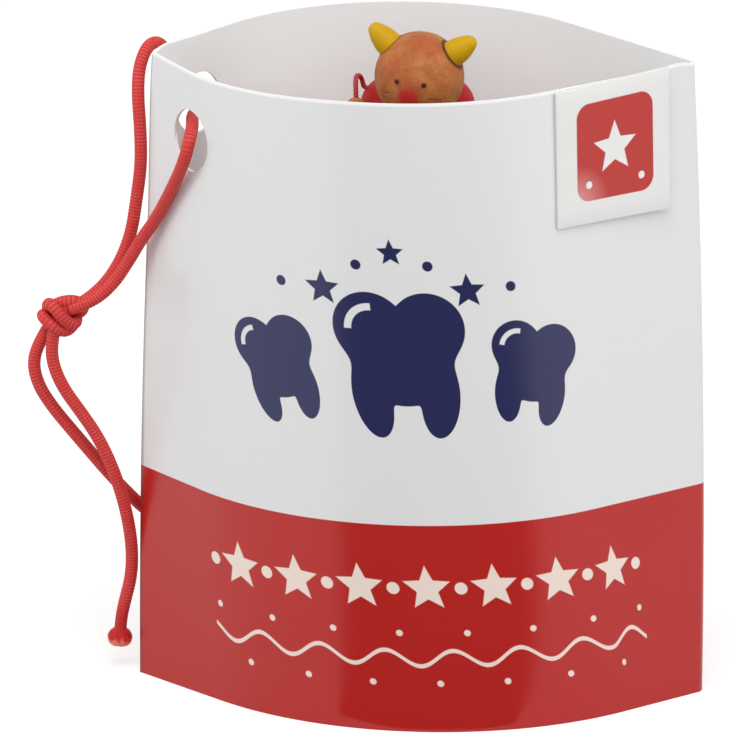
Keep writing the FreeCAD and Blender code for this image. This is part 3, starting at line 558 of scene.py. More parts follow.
class Finish:
    """A node material in the making."""

    def __init__(self, name, specular=0.5):
        self.material = bpy.data.materials.new(name)
        self.material.use_nodes = True
        self.tree = self.material.node_tree
        self.shader = self.tree.nodes["Principled BSDF"]
        self.shader.inputs["Specular IOR Level"].default_value = specular

    def node(self, kind, **inputs):
        node = self.tree.nodes.new(kind)
        for name, value in inputs.items():
            self.feed(node.inputs[name.replace("_", " ")], value)
        return node

    def feed(self, socket, value):
        if isinstance(value, Field):
            value = value.socket
        if isinstance(value, bpy.types.NodeSocket):
            self.tree.links.new(value, socket)
        else:
            socket.default_value = value

    def object_place(self, centre=(0, 0, 0), turn=(0, 0, 0), scale=(1, 1, 1)):
        """Object coordinates from a centre, turned, in units of the scale."""
        place = self.node("ShaderNodeTexCoord").outputs["Object"]
        mapping = self.node(
            "ShaderNodeMapping", Vector=place, Location=centre, Rotation=turn, Scale=scale
        )
        mapping.vector_type = "TEXTURE"
        return mapping.outputs["Vector"]

    def parts(self, vector):
        split = self.node("ShaderNodeSeparateXYZ", Vector=vector)
        return [Field(self.tree, output) for output in split.outputs]

    def flat_place(self):
        """Both coordinates of the UV map."""
        return self.parts(self.node("ShaderNodeUVMap").outputs[0])[:2]

    def noise(self, vector, scale, detail=3.0, roughness=0.55, distortion=0.0):
        node = self.node(
            "ShaderNodeTexNoise",
            Vector=vector,
            Scale=scale,
            Detail=detail,
            Roughness=roughness,
            Distortion=distortion,
        )
        return Field(self.tree, node.outputs["Fac"])

    def grain(self, *settings, stretch=(1, 1, 1)):
        """Noise over the object's own coordinates, stretched along them."""
        return self.noise(self.object_place(scale=stretch), *settings)

    def attribute(self, name):
        node = self.node("ShaderNodeAttribute")
        node.attribute_name = name
        return Field(self.tree, node.outputs["Fac"])

    def ramp(self, factor, *stops):
        """A colour from (place, screen colour) stops."""
        node = self.node("ShaderNodeValToRGB", Fac=factor)
        elements = node.color_ramp.elements
        while len(elements) < len(stops):
            elements.new(1.0)
        for element, (place, colour) in zip(elements, stops):
            element.position = place
            element.color = (*linear(colour), 1)
        return node.outputs["Color"]

    def mix(self, factor, below, above):
        """One colour over another where the factor is 1; each is a socket or a screen colour."""
        node = self.node("ShaderNodeMix")
        node.data_type = "RGBA"
        self.feed(node.inputs["Factor"], factor)
        sockets = [socket for socket in node.inputs if socket.type == "RGBA"]
        for socket, colour in zip(sockets, (below, above)):
            if isinstance(colour, bpy.types.NodeSocket):
                self.tree.links.new(colour, socket)
            else:
                socket.default_value = (*linear(colour), 1)
        return next(output for output in node.outputs if output.type == "RGBA")

    def colour(self, value):
        self.feed(self.shader.inputs["Base Color"], value)

    def roughness(self, value):
        self.feed(self.shader.inputs["Roughness"], value)

    def bump(self, height, strength, depth):
        node = self.node("ShaderNodeBump", Height=height, Strength=strength, Distance=depth)
        self.feed(self.shader.inputs["Normal"], node.outputs["Normal"])


def tooth_shape(across, up, centre_across, centre_up, half_height, tilt):
    """Below zero inside a tooth with two cusps and two roots, but not on the light on its left cusp."""
    x, y = turned_fields(across - centre_across, up - centre_up, tilt)
    x, y = x / half_height, y / half_height
    side = abs(x)
    cusp = distance(side - TOOTH_CUSP[0], y - TOOTH_CUSP[1]) - TOOTH_CUSP[2]
    waist = distance((side - TOOTH_WAIST[0]) * WAIST_SQUEEZE, y - TOOTH_WAIST[1]) - TOOTH_WAIST[2]
    root_x, root_y = turned_fields(side - TOOTH_ROOT[0], y - TOOTH_ROOT[1], ROOT_SLANT)
    root = distance(root_x * ROOT_SQUEEZE, root_y) - TOOTH_ROOT[2]
    tooth = cusp.merged(waist, CUSP_BLEND).merged(root, ROOT_BLEND)
    x, y = x - TOOTH_LIGHT[0], y - TOOTH_LIGHT[1]
    arc = abs(distance(x, y) - TOOTH_LIGHT[2]) - LIGHT_HALF
    light = arc.higher(x - LIGHT_END).higher(-y)
    return tooth.higher(-light) * half_height


def star_shape(across, up, radius, inner=0.45):
    """Below zero inside a five-pointed star."""
    spread = FULL_TURN / 5
    turn = abs(across.math("ARCTAN2", up).wrapped(spread))
    reach = distance(across, up)
    along, aside = reach * turn.math("COSINE"), reach * turn.math("SINE")
    step = Vector((inner * math.cos(spread / 2) - 1, inner * math.sin(spread / 2)))
    normal = Vector((step.y, -step.x)).normalized()
    return along * normal.x + aside * normal.y - radius * normal.x


def printed_card(sleeve):
    """Coated white card with a red band and a plain print of milk teeth and stars."""
    finish = Finish("printed_card", 0.4)
    across, up = (field * (BLANK_UNIT / MM) for field in finish.flat_place())
    motifs = [tooth_shape(across, up, *spot) for spot in TEETH]
    motifs += [star_shape(across - x, up - y, radius) for x, y, radius in STARS]
    motifs += [distance(across - x, up - y) - radius for x, y, radius in DOTS]
    middle = across - BAND_MIDDLE
    beat = middle.wrapped(BAND_REPEAT)
    off_beat = (middle + BAND_REPEAT / 2).wrapped(BAND_REPEAT)
    swing = (middle * (FULL_TURN / BAND_REPEAT)).math("SINE") * WAVE_RISE
    ornaments = [
        star_shape(beat, up - STAR_ROW, BAND_STAR),
        distance(off_beat, up - STAR_ROW) - BAND_DOT,
        abs(up - WAVE_ROW - swing) - WAVE_HALF,
        distance(beat, up - LOW_BEAD_ROW) - BAND_BEAD,
        distance(off_beat, up - HIGH_BEAD_ROW) - BAND_BEAD,
    ]
    ornament = any_of(ornaments).higher(abs(middle) - BAND_HALF)
    fibres, clouds = finish.grain(900, 4), finish.grain(60, 2)
    white = finish.mix(fibres.ranged(0.0, 0.05), sleeve.white, COATED_FIBRE)
    red = finish.mix(clouds.ranged(0.0, 0.16), sleeve.band, BAND_CLOUD)
    face = finish.mix((up - sleeve.band_height / MM).inside(PRINT_EDGE), white, red)
    face = finish.mix(any_of(motifs).inside(PRINT_EDGE), face, sleeve.ink)
    face = finish.mix(ornament.inside(PRINT_EDGE), face, sleeve.ornament)
    # Painted shade darkens the print along the card's left edge
    edge_shade = (across - EDGE_SHADE_REACH).inside(EDGE_SHADE_SOFTNESS) * 0.5
    face = finish.mix(edge_shade, face, EDGE_SHADE)
    rim = (-up + (sleeve.height / MM - RIM_REACH)).inside(RIM_EDGE)
    finish.colour(finish.mix(rim, face, RIM_WHITE))
    finish.roughness(clouds.ranged(0.2, 0.28))
    finish.bump(finish.grain(240, 2), 0.05, 0.0002)
    return finish.material


def plain_card(sleeve):
    """The uncoated inside of the card."""
    finish = Finish("plain_card", 0.35)
    fibres = finish.grain(1400, 5, 0.7, stretch=(1, 1, 0.4))
    clouds = finish.grain(45, 2)
    body = finish.mix(fibres.ranged(0, 0.1), sleeve.inside, CARD_FIBRE)
    finish.colour(finish.mix(clouds.ranged(0, 0.06), body, CARD_CLOUD))
    finish.roughness(0.62)
    finish.bump(fibres, 0.12, 0.0001)
    return finish.material


def cut_card(sleeve):
    """The bright cut edge of the card."""
    finish = Finish("cut_card", 0.3)
    layers = finish.grain(1600, 3, stretch=(0.2, 0.2, 1))
    finish.colour(finish.mix(layers.ranged(0, 0.2), CUT_WHITE, sleeve.inside))
    finish.roughness(0.7)
    finish.bump(layers, 0.2, 0.0001)
    return finish.material


def label_print(sleeve):
    """White paper with a red rounded square that pales towards one corner, a white star and two dots."""
    finish = Finish("label_print")
    side = sleeve.label_size / MM
    x, y = ((field - 0.5) * side - SQUARE_SHIFT for field in finish.flat_place())
    past_corner = [
        (abs(field) - (half - SQUARE_CORNER)).higher(0) for field, half in zip((x, y), SQUARE_HALVES)
    ]
    square = distance(*past_corner) - SQUARE_CORNER
    pale = distance(x - PALE_CORNER[0], y - PALE_CORNER[1]).ranged(0.6, 0.0, *PALE_REACH)
    red = finish.mix(pale.higher(0), sleeve.label_red, LABEL_PALE)
    fibres = finish.grain(1100, 4)
    white = finish.mix(fibres.ranged(0, 0.06), LABEL_WHITE, CARD_FIBRE)
    face = finish.mix(square.inside(PRINT_EDGE), white, red)
    dots = distance(abs(x) - LABEL_DOT[0], y - LABEL_DOT[1]) - LABEL_DOT[2]
    bare = star_shape(x, y, LABEL_STAR).lower(dots)
    finish.colour(finish.mix(bare.inside(PRINT_EDGE), face, LABEL_BARE))
    finish.roughness(0.22)
    finish.bump(fibres, 0.06, 0.0001)
    return finish.material


def braided_elastic(cord):
    """Red yarn with a painted highlight on top of each stitch and painted shade between the stitches."""
    finish = Finish("braided_elastic", 0.3)
    fibre = finish.grain(5200, 3, 0.7)
    depth = finish.grain(700, 2).ranged(0.25, 1.15, 0.3, 0.7)
    lit = (finish.attribute("weave") - 0.62) * depth + fibre.ranged(0.47, 0.77)
    stops = ((0.05, cord.yarn_shaded), (0.55, cord.yarn), (1.0, cord.yarn_highlight))
    finish.colour(finish.ramp(lit, *stops))
    finish.roughness(0.6)
    finish.bump(fibre, 0.35, 0.00008)
    return finish.material


def melted_elastic(cord):
    """Yarn that has melted into a hard shiny bead, paler towards its tip: partly the pale of thin melt,
    partly painted light.
    """
    finish = Finish("melted_elastic", 0.15)
    blotch = finish.grain(900, 4, 0.6, 0.4)
    pale_and_lit = finish.attribute("melt") + blotch.ranged(-0.16, 0.16, 0.3, 0.7)
    stops = ((0.0, cord.yarn), (0.35, cord.melt_deep), (0.5, cord.yarn), (0.72, cord.melt_pale_lit))
    finish.colour(finish.ramp(pale_and_lit, *stops))
    finish.roughness(blotch.ranged(0.32, 0.55))
    finish.bump(finish.grain(2400, 3), 0.3, 0.0001)
    return finish.material


def arm_thread_finish(figure):
    """Twisted red thread, with a painted highlight on each ply and painted shade between the plies."""
    finish = Finish("twisted_thread", 0.4)
    fibre = finish.grain(6000, 3, 0.7)
    lit = finish.attribute("weave") + fibre.ranged(-0.15, 0.15)
    stops = ((0.05, THREAD_SHADE), (0.6, figure.thread), (1.0, THREAD_HIGHLIGHT))
    finish.colour(finish.ramp(lit, *stops))
    finish.roughness(0.55)
    finish.bump(fibre, 0.3, 0.00006)
    return finish.material


def turned_wood(pot, axis):
    """Bare close-grained wood, with growth rings on the ends and long grain on the sides."""
    finish = Finish("turned_wood", 0.4)
    heart = (axis.x + 11 * MM, axis.y + 6 * MM, 0)
    place = finish.object_place(heart, scale=(MM, MM, 8 * MM))
    x, y, _ = finish.parts(place)
    drift = finish.noise(place, 0.09, 3)
    rings = (distance(x, y) * 1.5 + drift * 14).math("SINE")
    pores = finish.grain(3.2, 4, 0.7, stretch=(MM, MM, 14 * MM))
    tone = rings.ranged(0.0, 0.42, -1, 1) + pores.ranged(-0.2, 0.3, 0.3, 0.8)
    finish.colour(finish.ramp(tone, (0.0, pot.wood), (0.8, pot.grain)))
    finish.roughness(pores.ranged(0.42, 0.6))
    finish.bump(pores, 0.12, 0.0001)
    return finish.material


def stained_wood(figure):
    """Brown stain that soaked in unevenly."""
    finish = Finish("stained_wood", 0.45)
    soak = finish.grain(420, 5, 0.62, 0.5)
    grain = finish.grain(1500, 4, 0.65, stretch=(1, 1, 6))
    tone = soak.ranged(0.1, 0.9, 0.3, 0.7) + grain.ranged(-0.25, 0.25)
    stops = ((0.0, figure.stain_deep), (0.5, figure.stain), (1.0, STAIN_LIGHT))
    finish.colour(finish.ramp(tone, *stops))
    finish.roughness(0.42)
    finish.bump(grain, 0.18, 0.0001)
    return finish.material


def painted_head(figure, head_place):
    """The stained head with its painted eyes, nose and whiskers, and a dark ring with painted shade round
    each ear's foot.
    """
    finish = Finish("painted_head", 0.25)
    place = finish.object_place(head_place.translation, head_place.to_euler(), (MM, MM, MM))
    x, y, z = finish.parts(place)
    soak = finish.noise(place, 0.5, 5, 0.62, 0.2)
    grain = finish.noise(place, 2.4, 4, 0.7)
    tone = soak.ranged(0.22, 0.78, 0.3, 0.7) + grain.ranged(-0.45, 0.45)
    stops = ((0.0, figure.stain_deep), (0.5, figure.stain), (1.0, HEAD_LIGHT))
    face = finish.ramp(tone, *stops)
    wobble = finish.noise(place, 2.6, 2).ranged(-0.12, 0.12)
    radius = figure.head_radius / MM

    def spot(longitude, latitude):
        """How far a point is from a place on the face, in millimetres."""
        lon, lat = math.radians(longitude), math.radians(latitude)
        gap_x = x - radius * math.sin(lon) * math.cos(lat)
        gap_y = y + radius * math.cos(lon) * math.cos(lat)
        return distance(gap_x, gap_y, z - radius * math.sin(lat))

    for longitude, latitude, reach, strength in FLUSHES:
        flush = (spot(longitude, latitude) + wobble * 3 - reach).inside(1.1) * strength
        face = finish.mix(flush, face, HEAD_FLUSH)
    nose = spot(*NOSE[:2]) + wobble * 2 - NOSE[2]
    face = finish.mix(nose.inside(0.55), face, figure.nose)
    longitude, latitude, reach = EYE
    eyes = spot(-longitude, latitude).lower(spot(longitude, latitude)) + wobble * 0.4 - reach
    face = finish.mix(eyes.inside(0.13), face, figure.eye)
    front = y + 0.5
    strokes = [-front]
    for rise, tilt in WHISKERS:
        along, off = turned_fields(abs(x) - WHISKER_MIDDLE + wobble, z - rise + wobble, -tilt)
        strokes.append((abs(off) - WHISKER_HALVES[1]).higher(abs(along) - WHISKER_HALVES[0]))
    whiskers = any_of(strokes).higher(front)
    face = finish.mix(whiskers.inside(0.1) * 0.7, face, figure.eye)
    across, up = math.sin(figure.ear_splay), math.cos(figure.ear_splay)
    # A dark ring round each ear's foot: the joint, widened with painted shade, more on the right ear
    for side, width in EAR_SHADE_RINGS:
        reach = figure.ear_base / MM + width
        ring = -(x * side * across + z * up) + math.sqrt(radius**2 - reach**2)
        face = finish.mix(ring.inside(0.08) * 0.9, face, SOCKET_SHADE)
    finish.colour(face)
    finish.roughness(0.58)
    finish.bump(grain, 0.16, 0.0001)
    return finish.material


def lacquer(name, colour, deep, roughness):
    """Thin lacquer over wood, pooled a little in the grain."""
    finish = Finish(name, 0.16)
    grain = finish.grain(1300, 4, 0.65, stretch=(1, 1, 5))
    pool = finish.grain(260, 3)
    tone = pool.ranged(0.0, 0.5, 0.3, 0.7) + grain.ranged(-0.1, 0.2)
    finish.colour(finish.ramp(tone, (0.0, colour), (1.0, deep)))
    finish.roughness(grain.ranged(roughness - 0.05, roughness + 0.1))
    finish.bump(grain, 0.14, 0.00008)
    return finish.material


def linked(name, data):
    """A new object in the scene."""
    obj = bpy.data.objects.new(name, data)
    bpy.context.collection.objects.link(obj)
    return obj


def start_fresh():
    """Leave edit mode and select nothing."""
    if bpy.context.object and bpy.context.object.mode != "OBJECT":
        bpy.ops.object.mode_set(mode="OBJECT")
    bpy.ops.object.select_all(action="DESELECT")


def only(obj):
    start_fresh()
    obj.select_set(True)
    bpy.context.view_layer.objects.active = obj


def copied(obj):
    """A copy of a piece, with a mesh of its own."""
    only(obj)
    bpy.ops.object.duplicate()
    return bpy.context.active_object


def open_mesh(obj, kind="VERT"):
    """Edit one object's mesh with everything selected."""
    only(obj)
    bpy.ops.object.mode_set(mode="EDIT")
    bpy.ops.mesh.select_mode(type=kind)
    bpy.ops.mesh.select_all(action="SELECT")


def close_mesh():
    bpy.ops.object.mode_set(mode="OBJECT")


def mend_mesh(obj):
    """Merge doubles and turn all faces outwards."""
    open_mesh(obj)
    bpy.ops.mesh.remove_doubles(threshold=WELD)
    bpy.ops.mesh.normals_make_consistent(inside=False)
    close_mesh()


def add_modifier(obj, kind, **settings):
    """Add a modifier, set it and apply it."""
    only(obj)
    modifier = obj.modifiers.new(kind.lower(), kind)
    for name, value in settings.items():
        setattr(modifier, name, value)
    bpy.ops.object.modifier_apply(modifier=modifier.name)


def settle(obj, matrix):
    """Put an object at a place, and the place into its mesh."""
    only(obj)
    obj.matrix_world = matrix
    bpy.ops.object.transform_apply(location=True, rotation=True, scale=True)


def smooth(obj, degrees=35):
    only(obj)
    bpy.ops.object.shade_smooth_by_angle(angle=math.radians(degrees))


def along_axis(place, axis):
    """A place with its Z turned along an axis."""
    turn = UP.rotation_difference(axis).to_matrix().to_4x4()
    return Matrix.Translation(place) @ turn


def drill(radius, start, axis, depth, sides=48):
    """A cutter: a cylinder from a start point along an axis."""
    start_fresh()
    bpy.ops.mesh.primitive_cylinder_add(vertices=sides, radius=radius, depth=depth)
    cutter = bpy.context.active_object
    settle(cutter, along_axis(start + axis * (depth / 2), axis))
    return cutter


def cut(obj, cutter):
    """Cut a piece with another, which is then removed."""
    add_modifier(obj, "BOOLEAN", operation="DIFFERENCE", object=cutter, solver="EXACT")
    bpy.data.objects.remove(cutter)


def dress(obj, name, body, slot, materials, *nodes):
    """Name a finished piece, hang it on the body that it rides on, give it its materials and hide the
    imported pieces that it stands for; the slot is not used.
    """
    obj.name = name
    obj.data.name = name
    if not obj.data.materials:
        for material in materials:
            obj.data.materials.append(material)
    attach(obj, body)
    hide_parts(*nodes)
    return obj


def in_metres(route):
    return [Vector(point) * MM for point in route]


def run_between(start, end, count):
    """Points along a straight run, without the end."""
    return [start.lerp(end, i / count) for i in range(count)]


def bend_between(start, end, centre, count):
    """Points round a bend, anticlockwise from start, without the end."""
    arm, last = start - centre, end - centre
    first_turn = math.atan2(arm.y, arm.x)
    turn = (math.atan2(last.y, last.x) - first_turn) % FULL_TURN
    turns = [first_turn + turn * i / count for i in range(count)]
    return [centre + Vector((math.cos(a), math.sin(a))) * arm.length for a in turns]


def panel_bend(edge, fold_end, left_lean, right_lean, bend, side):
    """Start, end and centre of the bend between a panel's two straight ends."""
    rise_left, rise_right = math.tan(left_lean), math.tan(right_lean)
    run = rise_right * (fold_end.x - edge.x) + side * (fold_end.y - edge.y)
    across = run / (rise_left + rise_right)
    apex = edge + Vector((across, side * rise_left * across))
    to_left, to_right = (edge - apex).normalized(), (fold_end - apex).normalized()
    half = to_left.angle(to_right) / 2
    reach = bend / math.tan(half)
    inward = (to_left + to_right).normalized() * (bend / math.sin(half))
    return apex + to_left * reach, apex + to_right * reach, apex + inward


def sleeve_section(sleeve, level):
    """The card's outside at one level, anticlockwise from the left edge: front, fold and rear."""
    half = sleeve.half_width[level]
    edge = Vector((-half, sleeve.seam_depth))
    hub = Vector((half - sleeve.fold_radius, sleeve.seam_depth))
    panels = []
    for side, left, right, bend in (
        (-1, sleeve.front_left_lean, sleeve.front_right_lean, sleeve.front_bend),
        (1, sleeve.rear_left_lean, sleeve.rear_right_lean, sleeve.rear_bend),
    ):
        lean = right[level]
        fold_end = hub + Vector((math.sin(lean), side * math.cos(lean))) * sleeve.fold_radius
        bend_places = panel_bend(edge, fold_end, left[level], lean, bend[level], side)
        panels.append((fold_end, *bend_places))
    (fold_1, left_1, right_1, middle_1), (fold_2, left_2, right_2, middle_2) = panels
    return (
        run_between(edge, left_1, STRAIGHT_STEPS)
        + bend_between(left_1, right_1, middle_1, BEND_STEPS)
        + run_between(right_1, fold_1, STRAIGHT_STEPS)
        + bend_between(fold_1, fold_2, hub, FOLD_STEPS)
        + run_between(fold_2, right_2, STRAIGHT_STEPS)
        + bend_between(right_2, left_2, middle_2, BEND_STEPS)
        + run_between(left_2, edge, STRAIGHT_STEPS)
        + [edge]
    )


class SleeveWrap:
    """The card's outside as a place for each column of its blank at each height."""

    def __init__(self, sleeve):
        self.height = sleeve.height
        self.sections = [sleeve_section(sleeve, level) for level in range(3)]
        self.columns = len(self.sections[0]) - 1
        self.panel = 2 * STRAIGHT_STEPS + BEND_STEPS

    def place(self, column, height):
        """A column's place at a height, on the parabola through foot, waist and rim."""
        up = height / self.height
        weights = (2 * (up - 0.5) * (up - 1), 4 * up * (1 - up), 2 * up * (up - 0.5))
        flat = Vector((0, 0))
        for weight, section in zip(weights, self.sections):
            flat += section[column] * weight
        return Vector((*flat, height))

    def runs(self):
        """How far each column lies from the left edge on the flat blank."""
        waist = self.sections[1]
        runs = [0.0]
        for here, there in zip(waist, waist[1:]):
            runs.append(runs[-1] + (there - here).length)
        return runs

    def depth(self, across, height, side):
        """The depth of the front (-1) or rear (1) panel at a place across the sleeve."""
        first = 0 if side < 0 else self.columns - self.panel
        row = [self.place(column, height) for column in range(first, first + self.panel + 1)]
        for here, there in zip(row, row[1:]):
            if min(here.x, there.x) <= across <= max(here.x, there.x):
                return here.y + (there.y - here.y) * (across - here.x) / (there.x - here.x)
        raise RuntimeError("this place is outside the sleeve's panels")

    def on_panel(self, across, height, side):
        """A point of a panel and the outward normal there."""
        step = 0.2 * MM
        slope_x = self.depth(across + step, height, side) - self.depth(across - step, height, side)
        slope_z = self.depth(across, height + step, side) - self.depth(across, height - step, side)
        normal = Vector((-slope_x, 2 * step, -slope_z)).normalized() * side
        return Vector((across, self.depth(across, height, side), height)), normal


def ease(part):
    """A smooth step from 0 to 1."""
    part = min(max(part, 0.0), 1.0)
    return part * part * (3 - 2 * part)


def softened(sleeve, place, on_front):
    """A place on the card with its soft rim: sunk and spread at the left, raised beside the fold."""
    from_edge = place.x + sleeve.half_width[2]
    from_fold = sleeve.half_width[2] - place.x
    below_rim = sleeve.height - place.z
    sink = sleeve.sag * (1 - ease(from_edge / SAG_REACH[on_front]))
    if on_front:
        sink -= sleeve.fold_lift * (1 - ease(from_fold / LIFT_REACH)) * ease(from_fold / LIFT_FULL)
    sink *= 1 - ease(below_rim / SAG_DEPTH)
    spread = sleeve.spread * (1 - ease(from_edge / SPREAD_REACH))
    spread *= 1 - ease(below_rim / SPREAD_DEPTH)
    return place - Vector((spread, 0, sink))


def make_sleeve(sleeve):
    """A flat blank bent to the sleeve's sections, thickened, with a hole punched in each panel."""
    wrap = SleeveWrap(sleeve)
    columns, rows = wrap.columns, SLEEVE_ROWS
    start_fresh()
    bpy.ops.mesh.primitive_grid_add(x_subdivisions=columns, y_subdivisions=rows, size=1)
    obj = bpy.context.active_object
    mesh = obj.data
    spots = [(round((v.co.x + 0.5) * columns), round((v.co.y + 0.5) * rows)) for v in mesh.vertices]
    for vertex, (column, row) in zip(mesh.vertices, spots):
        place = wrap.place(column, sleeve.height * row / rows)
        vertex.co = softened(sleeve, place, column <= wrap.panel)
    runs = wrap.runs()
    for loop, corner in zip(mesh.loops, mesh.uv_layers.active.data):
        column, row = spots[loop.vertex_index]
        corner.uv = (runs[column] / BLANK_UNIT, sleeve.height * row / rows / BLANK_UNIT)
    open_mesh(obj)
    bpy.ops.mesh.remove_doubles(threshold=WELD)
    close_mesh()
    card = [printed_card(sleeve), plain_card(sleeve), cut_card(sleeve)]
    for material in card:
        mesh.materials.append(material)
    add_modifier(
        obj,
        "SOLIDIFY",
        thickness=sleeve.card,
        offset=-1,
        use_even_offset=True,
        material_offset=1,
        material_offset_rim=2,
    )
    for side, across, height in (
        (-1, sleeve.hole_across, sleeve.hole_height),
        (1, sleeve.rear_hole_across, sleeve.rear_hole_height),
    ):
        point, normal = wrap.on_panel(across, height, side)
        start = point - normal * PUNCH_DEPTH / 2
        cutter = drill(sleeve.hole_radius, start, normal, PUNCH_DEPTH, PUNCH_SIDES)
        for material in card:
            cutter.data.materials.append(material)
        for face in cutter.data.polygons:
            face.material_index = 2
        cut(obj, cutter)
    smooth(obj, 30)
    return dress(obj, "printed_sleeve", "sleeve", "card", card, "card_sleeve")


def make_label(sleeve):
    """A square of paper with softened edges, on the straight right end of the front panel."""
    point, normal = SleeveWrap(sleeve).on_panel(sleeve.label_across, sleeve.label_height, -1)
    level = UP.cross(normal).normalized()
    rise = normal.cross(level)
    place = Matrix((level, rise, normal)).transposed().to_4x4()
    place.translation = point + normal * sleeve.label_lift
    start_fresh()
    bpy.ops.mesh.primitive_plane_add(size=sleeve.label_size)
    obj = bpy.context.active_object
    open_mesh(obj)
    bpy.ops.mesh.subdivide(number_cuts=LABEL_CUTS)
    close_mesh()
    for vertex in obj.data.vertices:
        x, y = (vertex.co[axis] / sleeve.label_size for axis in (0, 1))
        vertex.co.x *= sleeve.label_share
        vertex.co.y += sleeve.label_skew * (x + 0.5) * (y + 0.5)
        vertex.co.z = sleeve.label_curl * (x + 0.5) ** 2 - sleeve.label_press * (0.5 - x)
    add_modifier(obj, "SOLIDIFY", thickness=sleeve.label_paper, offset=1)
    add_modifier(obj, "BEVEL", width=LABEL_EDGE, segments=2, limit_method="ANGLE")
    settle(obj, place)
    smooth(obj)
    return dress(obj, "paper_label", "sleeve", "label_paper", [label_print(sleeve)], "front_label")


def cord_line(route, steps):
    """Points along the smooth line that has a route's points as its control points."""
    curve = bpy.data.curves.new("route", "CURVE")
    curve.dimensions = "3D"
    curve.resolution_u = steps
    spline = curve.splines.new("NURBS")
    spline.points.add(len(route) - 1)
    for point, place in zip(spline.points, route):
        point.co = (*place, 1)
    spline.order_u = 3
    spline.use_endpoint_u = True
    carrier = linked("route", curve)
    line = bpy.data.meshes.new_from_object(carrier)
    points = [vertex.co.copy() for vertex in line.vertices]
    bpy.data.objects.remove(carrier)
    bpy.data.curves.remove(curve)
    bpy.data.meshes.remove(line)
    return points


def line_length(points):
    return sum((there - here).length for here, there in zip(points, points[1:]))


def carried_frames(points):
    """A normal and binormal at each point, carried along the line without twist."""
    before, after = points[:1] + points[:-1], points[1:] + points[-1:]
    tangents = [(there - here).normalized() for here, there in zip(before, after)]
    normals = [tangents[0].orthogonal().normalized()]
    for here, there in zip(tangents, tangents[1:]):
        normal = here.rotation_difference(there) @ normals[-1]
        normals.append((normal - there * normal.dot(there)).normalized())
    return [(normal, tangent.cross(normal)) for tangent, normal in zip(tangents, normals)]


def stitch_height(along, around, columns, pitch):
    """0 between the stitches of a knitted round cord and 1 on top of one; each column is a row of Vs."""
    column = around * columns / FULL_TURN
    leg = abs(column % 1 - 0.5)
    rib = abs(math.cos(math.pi * (along / pitch + STITCH_SLANT * leg)))
    groove = STITCH_GROOVE * (1 - abs(math.sin(math.pi * column)))
    return rib**STITCH_ROUND * (1 - groove)


def twist_height(along, around):
    """0 between the plies of the twisted arm thread and 1 on top of one."""
    return abs(math.cos(THREAD_PLIES / 2 * (around - FULL_TURN * along / THREAD_PITCH)))


class Tubes:
    """Round tubes with a relief, gathered into one mesh."""

    def __init__(self):
        self.places = []
        self.faces = []
        self.heights = []

    def add(self, points, radius, relief, sides, height_at):
        """A capped tube along points, whose surface dips by the relief where height_at gives 0."""
        first = len(self.places)
        last = first + (len(points) - 1) * sides
        along = 0.0
        before = points[0]
        for point, (normal, binormal) in zip(points, carried_frames(points)):
            along += (point - before).length
            before = point
            for k in range(sides):
                around = FULL_TURN * k / sides
                height = height_at(along, around)
                out = normal * math.cos(around) + binormal * math.sin(around)
                self.places.append(point + out * (radius - relief * (1 - height)))
                self.heights.append(height)
        for here in range(first, last, sides):
            there = here + sides
            for k in range(sides):
                m = (k + 1) % sides
                self.faces.append((here + k, here + m, there + m, there + k))
        self.cap(points[0], first, sides, -1)
        self.cap(points[-1], last, sides, 1)

    def cap(self, middle, first, sides, way):
        hub = len(self.places)
        self.places.append(middle)
        self.heights.append(0.5)
        for k in range(sides):
            pair = (first + k, first + (k + 1) % sides)
            self.faces.append((hub, *pair[::way]))

    def make(self):
        mesh = bpy.data.meshes.new("tube")
        mesh.from_pydata(self.places, [], self.faces)
        weave = mesh.attributes.new("weave", "FLOAT", "POINT")
        weave.data.foreach_set("value", self.heights)
        obj = linked("tube", mesh)
        smooth(obj, 60)
        return obj


def stitches(cord, singed_from=math.inf):
    """The relief of the elastic, closed up where the heat of a melted end reached it."""

    def height(along, around):
        heat = ease((along - singed_from) / SINGE_BLEND)
        stitch = stitch_height(along, around, cord.columns, cord.pitch)
        return stitch * (1 - heat) + SINGED_HEIGHT * heat

    return height


def make_cord(cord, name, route, node, material, melted=False):
    """A knitted cord along its route, and the line that it follows."""
    points = cord_line(in_metres(route), LINE_STEPS)
    relief = stitches(cord, line_length(points) - SINGED) if melted else stitches(cord)
    tubes = Tubes()
    tubes.add(points, cord.radius, cord.relief, cord.sides, relief)
    return dress(tubes.make(), name, "sleeve", "elastic", [material], node), points


def make_knot(cord, material):
    """The knot's strands, each a length of the cord along its own line."""
    centre = Vector(KNOT_CENTRE) * MM
    tubes = Tubes()
    for strand in KNOT_STRANDS:
        points = cord_line([centre + offset for offset in in_metres(strand)], KNOT_LINE_STEPS)
        tubes.add(points, cord.radius, cord.relief, cord.sides, stitches(cord))
    return dress(tubes.make(), "tied_knot", "sleeve", "elastic", [material], "cord_knot")


